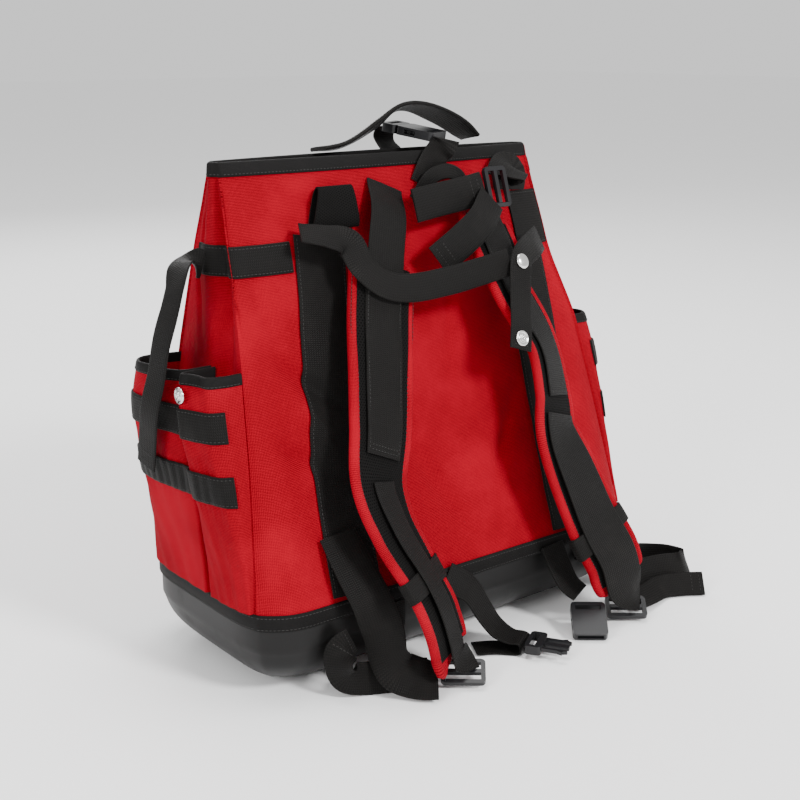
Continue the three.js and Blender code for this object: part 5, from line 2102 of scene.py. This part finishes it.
@dataclass
class WallBands:
    """The bands round the rear corners, and the tab under the mouth."""

    bench: Bench
    bands: Tuple[SideBand, ...] = (
        SideBand("left_side_band", -1, 0.690, 0.500, 0.789, 25.0),
        SideBand("right_side_band", 1, 0.760, 0.000, 0.785, 50.0),
    )
    smoothings: int = 4
    seam: float = 2.2
    tab_height: float = 14.0
    tab_clear: float = 0.8

    def corner_path(self, band: SideBand, z: float) -> np.ndarray:
        """A band's path in plan, over its corner.

        Args:
            band: the band.
            z: the height.

        Returns:
            Its points.
        """
        wall = Wall.LEFT if band.side < 0 else Wall.RIGHT
        body = self.bench.body
        on_back = body.at(Wall.BACK, band.side * np.linspace(band.start, 0.995, 22), z)
        on_side = body.at(wall, np.linspace(-0.98, band.end, 30), z)
        path = np.concatenate([on_back, on_side])
        for _ in range(self.smoothings):
            path[1:-1] = (path[:-2] + path[1:-1] * 2 + path[2:]) / 4
        return path if band.side > 0 else path[::-1]

    def tab_path(self, z: float) -> np.ndarray:
        """The tab's path in plan at a height."""
        return self.bench.body.at(Wall.RIGHT, np.linspace(-0.95, -0.33, 16), z)

    def build(self) -> None:
        """Builds the bands and the tab."""
        bench, size = self.bench, self.bench.body.sizes
        webbing = bench.finish.webbing
        for band in self.bands:
            path_at = partial(self.corner_path, band)
            foot = band.foot * size.height
            profile = band_profile(foot, foot + band.width, 0.5, 2.1, 0.2)
            made = strip_on_path(f"{band.node}_webbing", path_at, profile, False, webbing)
            bench.put(made, Slot.WEBBING, band.node)
            for z in (foot + self.seam, foot + band.width - self.seam):
                bench.sew(path_at, z, self.seam)
        high = size.height - size.rim_height - self.tab_clear
        profile = band_profile(high - self.tab_height, high, 0.9, 2.5)
        made = strip_on_path("side_tab", self.tab_path, profile, False, webbing)
        bench.put(made, Slot.WEBBING, "right_side_tab")


@dataclass
class BackWebbings:
    """The two webbings sewn down the harness wall, and the tab on the tray."""

    bench: Bench
    half: float = 25.0
    wall: float = 1.6
    cup: float = 0.15
    stand: float = 0.8
    step: float = 2.0
    seam_inset: float = 2.5
    seam_stand: float = 2.5
    seam_points: int = 60
    tab_cup: float = 0.2
    tab_rows: int = 12

    def on_wall(self, curve: Curve, share: float, wide: float, rise: float) -> Tuple[float, float, float]:
        """A point over the harness wall.

        Args:
            curve: the webbing's middle line across the wall.
            share: where along it.
            wide: how far sideways.
            rise: how far off the wall.

        Returns:
            The point.
        """
        x, z = curve.at(share)
        along_x, along_z = curve.tangent(share)
        x, z = x + along_z * wide, z - along_x * wide
        return x, float(self.bench.body.harness_y(np.array([x]), z)[0]) - rise, z

    def sewn(self, node: str, stops: Sequence[WallStop]) -> None:
        """Builds a webbing that follows the wall, with a seam down each edge.

        Args:
            node: the frame's node.
            stops: its middle line, as shares of the bag's width and height.
        """
        size = self.bench.body.sizes
        curve = Curve([(s.across * size.width / 2, s.up * size.height) for s in stops])
        shares = np.linspace(0, 1, int(curve.length / self.step) + 1)
        side, out = strap_section(self.half, self.wall, self.cup)
        rings = [
            [self.on_wall(curve, share, wide, self.stand + rise) for wide, rise in zip(side, out)]
            for share in shares
        ]
        along, wide = np.meshgrid(shares * curve.length, np.append(side, side[0]), indexing="ij")
        weave = np.stack([wide, along], axis=-1)
        made = tube(f"{node}_sewn", np.array(rings), self.bench.finish.webbing, weave)
        self.bench.put(made, Slot.WEBBING, node)
        facing = np.repeat([[0.0, -0.98, 0.17]], self.seam_points, axis=0)
        reach = self.half - self.seam_inset
        for shift in (-reach, reach):
            shares = np.linspace(0.01, 0.99, self.seam_points)
            path = [self.on_wall(curve, share, shift, self.seam_stand) for share in shares]
            self.bench.seams.row(np.array(path), facing)

    def build(self) -> None:
        """Builds both webbings and the tab."""
        self.sewn("left_back_webbing", LEFT_BACK_WEBBING_ROUTE)
        self.sewn("right_back_webbing", RIGHT_BACK_WEBBING_ROUTE)
        low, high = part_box("base_tab")
        width, height = (high.x - low.x) / MM, (high.z - low.z) / MM
        middle = (low.x + high.x) / 2 / MM
        side, out = strap_section(width / 2, self.wall, self.tab_cup)
        rises = np.linspace(0, height, self.tab_rows)
        rings = [
            np.stack([middle + side, high.y / MM - out, np.full(len(side), low.z / MM + rise)], axis=1)
            for rise in rises
        ]
        along, wide = np.meshgrid(rises, np.append(side, side[0]), indexing="ij")
        weave = np.stack([wide, along], axis=-1)
        made = tube("tray_tab", np.array(rings), self.bench.finish.webbing, weave)
        self.bench.put(made, Slot.WEBBING, "base_tab")


@dataclass
class ShoulderPads:
    """The two padded shoulder straps, each with a mesh face and a keeper."""

    bench: Bench
    half: float = 33.5
    wall: float = 8.0
    roll: float = 4.3
    step: float = 2.2
    end_round: float = 14.0
    face_wall: float = 1.6
    keeper_width: float = 20.0
    keeper_wall: float = 1.6
    keeper_clear: float = 0.6
    keeper_points: int = 60
    keeper_rows: int = 12

    def __post_init__(self) -> None:
        """Lays both pads' routes."""
        self.left = StrapRoute(self.bench.body, LEFT_PAD_ROUTE, 24)
        self.right = StrapRoute(self.bench.body, RIGHT_PAD_ROUTE, 20)

    def section(self, half: float) -> Tuple[np.ndarray, np.ndarray]:
        """The section of a pad: two rolled edges with a flatter middle.

        Args:
            half: half its width there.

        Returns:
            How far each point lies sideways and outwards, going round.
        """
        roll = min(self.roll, half * 0.45)
        inner = half - roll * 2.1
        flat = np.linspace(-inner, inner, 13)
        turn = np.linspace(-math.pi * 0.62, math.pi * 0.62, 13)
        right = half - roll + roll * np.cos(turn)
        rise = self.wall / 2 + (self.wall / 2 + 0.25) * np.sin(turn)
        side = np.concatenate([flat, right, flat[::-1], -right[::-1]])
        under = np.full(len(flat), 0.7)
        over = np.full(len(flat), self.wall - 1.6)
        return side, np.concatenate([under, rise, over, rise[::-1]])

    def pad(self, word: str, route: StrapRoute, start: float, faced_from: float) -> None:
        """Builds a pad's cloth and its mesh face.

        Args:
            word: left or right.
            route: its route.
            start: the station it starts at.
            faced_from: the station above which the mesh reaches its edges.
        """
        bench = self.bench
        low, high = route.length_at(start), route.length_at(route.steps - Strap.tail_stations)
        places = np.linspace(low, high, int((high - low) / self.step))
        rings, faces = [], []
        for length in places:
            near = min(length - low, high - length)
            shape = math.sqrt(1 - (1 - clamp(near / self.end_round)) ** 2) if near < self.end_round else 1.0
            half = self.half * (0.72 + 0.28 * shape)
            side, out = self.section(half)
            puff = 0.35 * math.sin(length / 9) + 0.3 * math.sin(length / 3.7 + 1)
            out = self.wall / 2 + (out - self.wall / 2) * (0.55 + 0.45 * shape)
            out = out + puff * np.cos(np.clip(side / half, -1, 1) * math.pi / 2) * 0.4
            rings.append(route.place(length, side, out))
            wide = clamp((faced_from - route.station_at(length)) / 1.5)
            reach = lerp(half - self.roll * 1.75, half - 1.2, wide)
            across = np.linspace(-reach, reach, 25)
            crown = self.wall - 0.9 + 0.5 * np.cos(across / reach * math.pi / 2)
            faces.append((length, across, crown + wide * 0.9 * (1 - (across / half) ** 6)))
        grid = np.array(rings)
        around = lengths_along(np.concatenate([grid[len(grid) // 2], grid[len(grid) // 2][:1]]))
        along, wide_map = np.meshgrid(places - low, around, indexing="ij")
        made = tube(f"{word}_pad_cloth", grid, bench.finish.cloth, np.stack([wide_map, along], axis=-1))
        bench.put(made, Slot.CLOTH, f"{word}_shoulder_pad")
        trimmed = faces[3:-3]
        outer = np.array([route.place(length, across, crown) for length, across, crown in trimmed])
        under = [route.place(length, across, crown - self.face_wall) for length, across, crown in trimmed]
        inner = np.array(under)
        bench.put(sheet(f"{word}_pad_mesh", outer[:, ::-1], inner[:, ::-1], bench.finish.mesh), Slot.WEBBING)
        normals = np.array([route.frame(length)[3] for length, _, _ in trimmed])
        for column in (0, -1):
            bench.seams.row(outer[:, column], normals, 0.1)

    def keeper_ring(self, route: StrapRoute, length: float, grow: float) -> np.ndarray:
        """A ring of a keeper round its pad.

        Args:
            route: the pad's route.
            length: where along it.
            grow: how far the ring stands off the pad.

        Returns:
            Its points.
        """
        turn = np.linspace(0, 2 * math.pi, self.keeper_points + 1)[:-1]
        half, tall = self.half + grow, self.wall / 2 + grow
        side = np.sign(np.cos(turn)) * np.abs(np.cos(turn)) ** 0.28 * half
        out = self.wall / 2 + np.sign(np.sin(turn)) * np.abs(np.sin(turn)) ** 0.6 * tall
        return route.place(length, side, out)

    def keeper(self, word: str, route: StrapRoute, station: float) -> None:
        """Builds the loop of webbing round a pad.

        Args:
            word: left or right.
            route: the pad's route.
            station: where its middle sits.
        """
        across_width = np.linspace(-self.keeper_width / 2, self.keeper_width / 2, self.keeper_rows)
        lengths = route.length_at(station) + across_width
        bows = 0.25 * np.cos(np.linspace(-math.pi / 2, math.pi / 2, self.keeper_rows))
        over = self.keeper_clear + self.keeper_wall
        outer = np.array([self.keeper_ring(route, length, over + bow) for length, bow in zip(lengths, bows)])
        inner = np.array([self.keeper_ring(route, length, self.keeper_clear) for length in lengths])
        middle = outer[self.keeper_rows // 2]
        run = lengths_along(np.concatenate([middle, middle[:1]]))
        along, across = np.meshgrid(run, across_width, indexing="xy")
        weave = np.stack([across, along], axis=-1).reshape(-1, 2)
        made = sheet(f"{word}_keeper_loop", outer, inner, self.bench.finish.webbing, True, weave)
        weld(made)
        self.bench.put(made, Slot.WEBBING, f"{word}_pad_keeper")

    def build(self) -> None:
        """Builds both pads and their keepers."""
        self.pad("left", self.left, 4.0, 8.0)
        self.pad("right", self.right, 0.0, 1.0)
        self.keeper("left", self.left, 16.5)
        self.keeper("right", self.right, 14.4)


@dataclass
class YokeSleeve:
    """The flattened sleeve across the top of the harness."""

    bench: Bench
    half: float = 17.0
    tall: float = 4.0
    wall: float = 1.6
    slant: float = 14.0
    slant_reach: float = 30.0
    points: int = 48
    rings: int = 34

    def ring(self, route: StrapRoute, length: float, grow: float) -> np.ndarray:
        """A ring of the sleeve.

        Args:
            route: the sleeve's route.
            length: where along it.
            grow: how far the ring lies outside the sleeve's hollow.

        Returns:
            Its points.
        """
        turn = np.linspace(0, 2 * math.pi, self.points + 1)[:-1]
        side = np.sign(np.cos(turn)) * np.abs(np.cos(turn)) ** 0.7 * (self.half + grow)
        bulge = np.sign(np.sin(turn)) * np.abs(np.sin(turn)) ** 0.8 * (self.tall + grow)
        points = route.place(length, side, self.wall + self.tall + bulge)
        points[:, 0] += self.slant * (0.5 + side / (2 * self.half)) * clamp(1 - length / self.slant_reach)
        return points

    def build(self) -> None:
        """Builds the sleeve."""
        route = StrapRoute(self.bench.body, YOKE_SLEEVE_ROUTE, 2)
        lengths = np.linspace(0, route.curve.length, self.rings)
        outer = np.array([self.ring(route, float(length), self.wall) for length in lengths])
        inner = np.array([self.ring(route, float(length), 0.0) for length in lengths])
        run = lengths_along(np.concatenate([outer[0], outer[0][:1]]))
        across, along = np.meshgrid(run, lengths, indexing="xy")
        weave = np.stack([across, along], axis=-1).reshape(-1, 2)
        made = sheet("yoke_sleeve_cloth", outer, inner, self.bench.finish.mesh, True, weave)
        weld(made)
        self.bench.put(made, Slot.WEBBING, "yoke_sleeve")


@dataclass
class Webbings:
    """Every strap that runs free or on a pad, with its seams."""

    bench: Bench
    pads: ShoulderPads
    face: float = 8.4
    over: float = 10.5
    pad_seam: float = 16.5
    handle_seam: float = 9.5
    seam_inset: float = 3.0
    made: Dict[str, Strap] = field(default_factory=dict)

    def specs(self) -> Tuple[Tuple[StrapRoute, StrapSpec], ...]:
        """Lists the straps.

        Returns:
            Each strap's route and sizes.
        """
        route = partial(StrapRoute, self.bench.body)
        left, right, face, over = self.pads.left, self.pads.right, self.face, self.over
        return (
            (left, StrapSpec("left_pad_webbing", 38, lift=face, start_lift=0.4, end=11)),
            (left, StrapSpec("left_pad_lower_webbing", 25, 1.6, over, face, start=12, end_width=26)),
            (right, StrapSpec("right_pad_webbing", 38, lift=face, end=8)),
            (right, StrapSpec("right_pad_lower_webbing", 46, 1.6, over, face, start=9, end_width=26)),
            (route(YOKE_WEBBING_ROUTE, 8), StrapSpec("yoke_webbing", 30, wave=0.15)),
            (route(HARNESS_TAIL_ROUTE, 6), StrapSpec("harness_tail", 30, wave=0.2)),
            (route(HARNESS_ANCHOR_ROUTE, 8), StrapSpec("harness_anchor", 38, wave=0, cup=0.1)),
            (route(STERNUM_ROUTE, 18), StrapSpec("sternum_strap", 25, wave=0.3)),
            (route(STERNUM_TAB_ROUTE, 12), StrapSpec("sternum_tab", 25, wave=0.1, cup=0.1)),
            (route(CLOSURE_STRAP_ROUTE, 10), StrapSpec("closure_strap", 25, wave=0, cup=0.1)),
            (route(CLOSURE_ANCHOR_ROUTE, 8), StrapSpec("closure_anchor", 14, wave=0, cup=0.1)),
            (route(CLOSURE_FRONT_ROUTE, 6), StrapSpec("closure_front_strap", 25, wave=0, cup=0.1)),
            (route(HANDLE_ROUTE, 16), StrapSpec("carry_handle", 25, wall=3.6, wave=0.2, cup=0.5)),
            (route(LEFT_ADJUST_ROUTE, 24), StrapSpec("left_adjust_strap", 36)),
            (route(LEFT_TAIL_ROUTE, 14), StrapSpec("left_adjust_tail", 28, wave=0.2)),
            (route(RIGHT_ADJUST_ROUTE, 27), StrapSpec("right_adjust_strap", 36)),
            (route(RIGHT_TAIL_ROUTE, 8), StrapSpec("right_adjust_tail", 24, wave=0.2)),
            (route(LEFT_WAIST_ROUTE, 27), StrapSpec("left_waist_strap", 28, wave=0.1, cup=0.1)),
            (route(RIGHT_WAIST_ROUTE, 8), StrapSpec("right_waist_strap", 28, wave=0, cup=0.1)),
            (route(HANGING_STRAP_ROUTE, 18), StrapSpec("left_hanging_strap", 25, wave=0.3)),
        )

    def pad_seams(self) -> None:
        """Sews the webbings down the pads."""
        seams = self.bench.seams
        for node, top in (("left_pad_webbing", 4.5), ("right_pad_webbing", 0.0)):
            strap = self.made[node]
            low = strap.route.length_at(top)
            high = strap.route.length_at(strap.spec.end or strap.route.steps)
            for sideways in (-self.pad_seam, self.pad_seam):
                seams.on_strap(strap, low + 4, high - 3, sideways)
            for back in (4.0, 8.0):
                seams.across_strap(strap, high - back, 16)

    def end_seams(self, backs: Tuple[float, float], *nodes: str) -> None:
        """Sews twice across each strap's end.

        Args:
            backs: how far from the end.
            nodes: the straps.
        """
        for node in nodes:
            strap = self.made[node]
            for back in backs:
                at = strap.route.curve.length - back
                self.bench.seams.across_strap(strap, at, strap.spec.width / 2 - self.seam_inset)

    def build(self) -> None:
        """Builds the straps and sews them."""
        for route, spec in self.specs():
            strap = Strap(route, spec)
            self.made[spec.node] = strap
            made = strap.build(self.bench.finish.webbing)
            made.name = f"{spec.node}_webbing"
            self.bench.put(made, Slot.WEBBING, spec.node)
        self.pad_seams()
        self.end_seams((6.0, 14.0), "yoke_webbing")
        self.end_seams((5.0, 13.0), "harness_tail", "left_hanging_strap")
        self.end_seams((4.0, 12.0), "sternum_tab", "left_adjust_tail", "right_adjust_tail")
        self.end_seams((4.0, 12.0), "left_waist_strap")
        handle = self.made["carry_handle"]
        for sideways in (-self.handle_seam, self.handle_seam):
            self.bench.seams.on_strap(handle, 6, handle.route.curve.length - 6, sideways)


# Sections of the press snaps, from the middle out and back over: out from the axis, up from the seat
CAP_PROFILE: Tuple[Tuple[float, float], ...] = (
    (0, -0.2), (7.0, -0.2), (7.1, 0.5), (6.8, 1.2), (6.2, 1.75), (5.0, 2.3),
    (3.4, 2.75), (1.6, 2.95), (0, 3.0),
)
STUD_PROFILE: Tuple[Tuple[float, float], ...] = (
    (0, -0.2), (7.0, -0.2), (7.1, 0.6), (6.7, 1.3), (5.9, 1.6), (5.2, 1.4), (4.6, 1.0), (3.9, 1.1),
    (3.5, 1.9), (3.2, 2.7), (2.6, 3.0), (2.1, 2.8), (1.8, 1.9), (1.3, 1.5), (0, 1.4),
)


@dataclass
class Fittings:
    """The buckles, ladder locks and press snaps."""

    bench: Bench
    edge_round: float = 0.55
    edge_segments: int = 3
    edge_angle: float = 32.0
    flat_angle: float = 4.0
    snap_sides: int = 48
    snap_crease: float = 60.0
    seat_depth: float = 0.3

    def plastic(self, node: str) -> None:
        """Dresses a moulded fitting of the frame and rounds its edges.

        Args:
            node: the frame's node.
        """
        made = self.bench.frame["nodes"][node]
        made.data.materials.clear()
        made.data.materials.append(self.bench.finish.plastic)
        flat = made.modifiers.new("Flat", "DECIMATE")
        flat.decimate_type = "DISSOLVE"
        flat.angle_limit = math.radians(self.flat_angle)
        edges = made.modifiers.new("Round", "BEVEL")
        edges.width = self.edge_round * MM
        edges.segments = self.edge_segments
        edges.limit_method = "ANGLE"
        edges.angle_limit = math.radians(self.edge_angle)
        edges.harden_normals = True
        LOG.info("piece %s", node)

    def seat(self, node: str) -> Tuple[np.ndarray, np.ndarray]:
        """Finds where a snap sits and which way it looks.

        Args:
            node: the frame's node.

        Returns:
            The middle of its foot, and its outward direction.
        """
        source = self.bench.frame["nodes"][node]
        corners = np.array([list(v.co) for v in source.data.vertices]) / MM
        centre = corners.mean(axis=0)
        values, axes = np.linalg.eigh(np.cov((corners - centre).T))
        look = axes[:, int(np.argmin(values))]
        heights = (corners - centre) @ look
        if abs(heights.min()) > abs(heights.max()):
            look, heights = -look, -heights
        return corners[np.abs(heights - heights.min()) < self.seat_depth].mean(axis=0), look

    def snap(self, node: str, section: Sequence[Tuple[float, float]]) -> None:
        """Turns a press snap where the frame has one.

        Args:
            node: the frame's node.
            section: its section.
        """
        seat, look = self.seat(node)
        profile = Curve(section, 4).samples
        profile[0, 0] = profile[-1, 0] = 0.0
        side = unit(np.cross(look, np.array([0.3, 0.5, 0.8])))
        other = np.cross(look, side)
        ring = self.snap_sides + 1
        points = [
            seat + look * up + (side * math.cos(turn) + other * math.sin(turn)) * out
            for out, up in profile
            for turn in np.linspace(0, 2 * math.pi, ring)
        ]
        starts = [i * ring + j for i in range(len(profile) - 1) for j in range(self.snap_sides)]
        faces = [(a, a + 1, a + ring + 1, a + ring) for a in starts]
        made = mesh_object(f"{node}_metal", np.array(points), faces, None, self.bench.finish.metal)
        weld(made)
        mark_edges(made, self.snap_crease)
        self.bench.put(made, Slot.METAL, node)

    def build(self) -> None:
        """Dresses the fittings and turns the snaps."""
        for node in (
            "closure_buckle_socket",
            "closure_buckle_plug",
            "waist_buckle_plug",
            "waist_buckle_socket",
            "left_pad_ladder_lock",
            "right_pad_ladder_lock",
            "harness_ladder_lock",
        ):
            self.plastic(node)
        self.snap("sternum_snap_cap", CAP_PROFILE)
        self.snap("sternum_snap_stud", STUD_PROFILE)
        self.snap("left_pocket_snap", STUD_PROFILE)


# The stage


class Lamp(NamedTuple):
    """A soft light: its name, place, width and watts."""

    name: str
    place: Tuple[float, float, float]
    width: float
    watts: float


@dataclass
class Stage:
    """The pale floor, the soft lights and the camera."""

    finish: Finishes
    focal: float = 1307.6
    picture: float = 800.0
    sensor: float = 36.0
    place: Tuple[float, float, float] = (-0.726, -0.9166, 0.5304)
    azimuth: float = -38.3
    elevation: float = 15.5
    floor_width: float = 30.0
    aim: Tuple[float, float, float] = (0.0, 0.0, 0.2)
    sky: float = 0.95
    lamps: Tuple[Lamp, ...] = (
        Lamp("Key", (0.5, -2.6, 2.0), 0.7, 112.0),
        Lamp("Left", (-2.3, -0.7, 1.3), 0.9, 34.0),
        Lamp("Top", (0.2, 0.3, 2.6), 1.6, 40.0),
        Lamp("Rim", (0.6, 2.2, 1.6), 1.2, 24.0),
    )

    def floor(self) -> None:
        """Lays the floor."""
        bpy.ops.mesh.primitive_plane_add(size=self.floor_width, location=(0, 0, 0))
        plane = bpy.context.object
        plane.name = "Floor"
        plane.data.materials.append(self.finish.floor)

    def light(self, lamp: Lamp) -> None:
        """Adds a soft light that looks at the bag's middle.

        Args:
            lamp: the light.
        """
        data = bpy.data.lights.new(lamp.name, "AREA")
        data.shape = "DISK"
        data.size = lamp.width
        data.energy = lamp.watts
        made = bpy.data.objects.new(lamp.name, data)
        made.location = lamp.place
        made.rotation_mode = "QUATERNION"
        made.rotation_quaternion = (Vector(self.aim) - made.location).to_track_quat("-Z", "Y")
        bpy.context.scene.collection.objects.link(made)

    def world(self) -> None:
        """Sets the pale world."""
        world = bpy.data.worlds.new("Pale_world")
        world.use_nodes = True
        sky = world.node_tree.nodes["Background"]
        sky.inputs["Color"].default_value = (1.0, 1.0, 1.0, 1.0)
        sky.inputs["Strength"].default_value = self.sky
        bpy.context.scene.world = world

    def camera(self) -> None:
        """Sets the camera at the photograph's place."""
        data = bpy.data.cameras.new("Camera")
        data.sensor_width = self.sensor
        data.lens = self.sensor * self.focal / self.picture
        data.clip_start = 0.05
        camera = bpy.data.objects.new("Camera", data)
        turn, rise = math.radians(self.azimuth), math.radians(self.elevation)
        back = Vector((math.sin(turn) * math.cos(rise), -math.cos(turn) * math.cos(rise), math.sin(rise)))
        camera.location = self.place
        camera.rotation_mode = "QUATERNION"
        camera.rotation_quaternion = (-back).to_track_quat("-Z", "Y")
        bpy.context.scene.collection.objects.link(camera)
        bpy.context.scene.camera = camera

    def build(self) -> None:
        """Builds the stage."""
        self.floor()
        for lamp in self.lamps:
            self.light(lamp)
        self.world()
        self.camera()


def main() -> None:
    """Builds the backpack and its stage."""
    logging.basicConfig(level=logging.INFO, format="%(message)s")
    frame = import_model()
    bench = Bench(frame, Body(SIZES), Finishes.made(), Stitching("tape_stitches"))
    pads = ShoulderPads(bench)
    for part in (
        ClothWalls(bench),
        MouldedTray(bench),
        BoundEdges(bench),
        SidePockets(bench),
        WallBands(bench),
        BackWebbings(bench),
        pads,
        YokeSleeve(bench),
        Webbings(bench, pads),
        Fittings(bench),
    ):
        LOG.info("building %s", type(part).__name__)
        part.build()
    bench.put(bench.seams.build(bench.finish.black_thread), Slot.WEBBING)
    Stage(bench.finish).build()


if __name__ == "__main__":
    main()
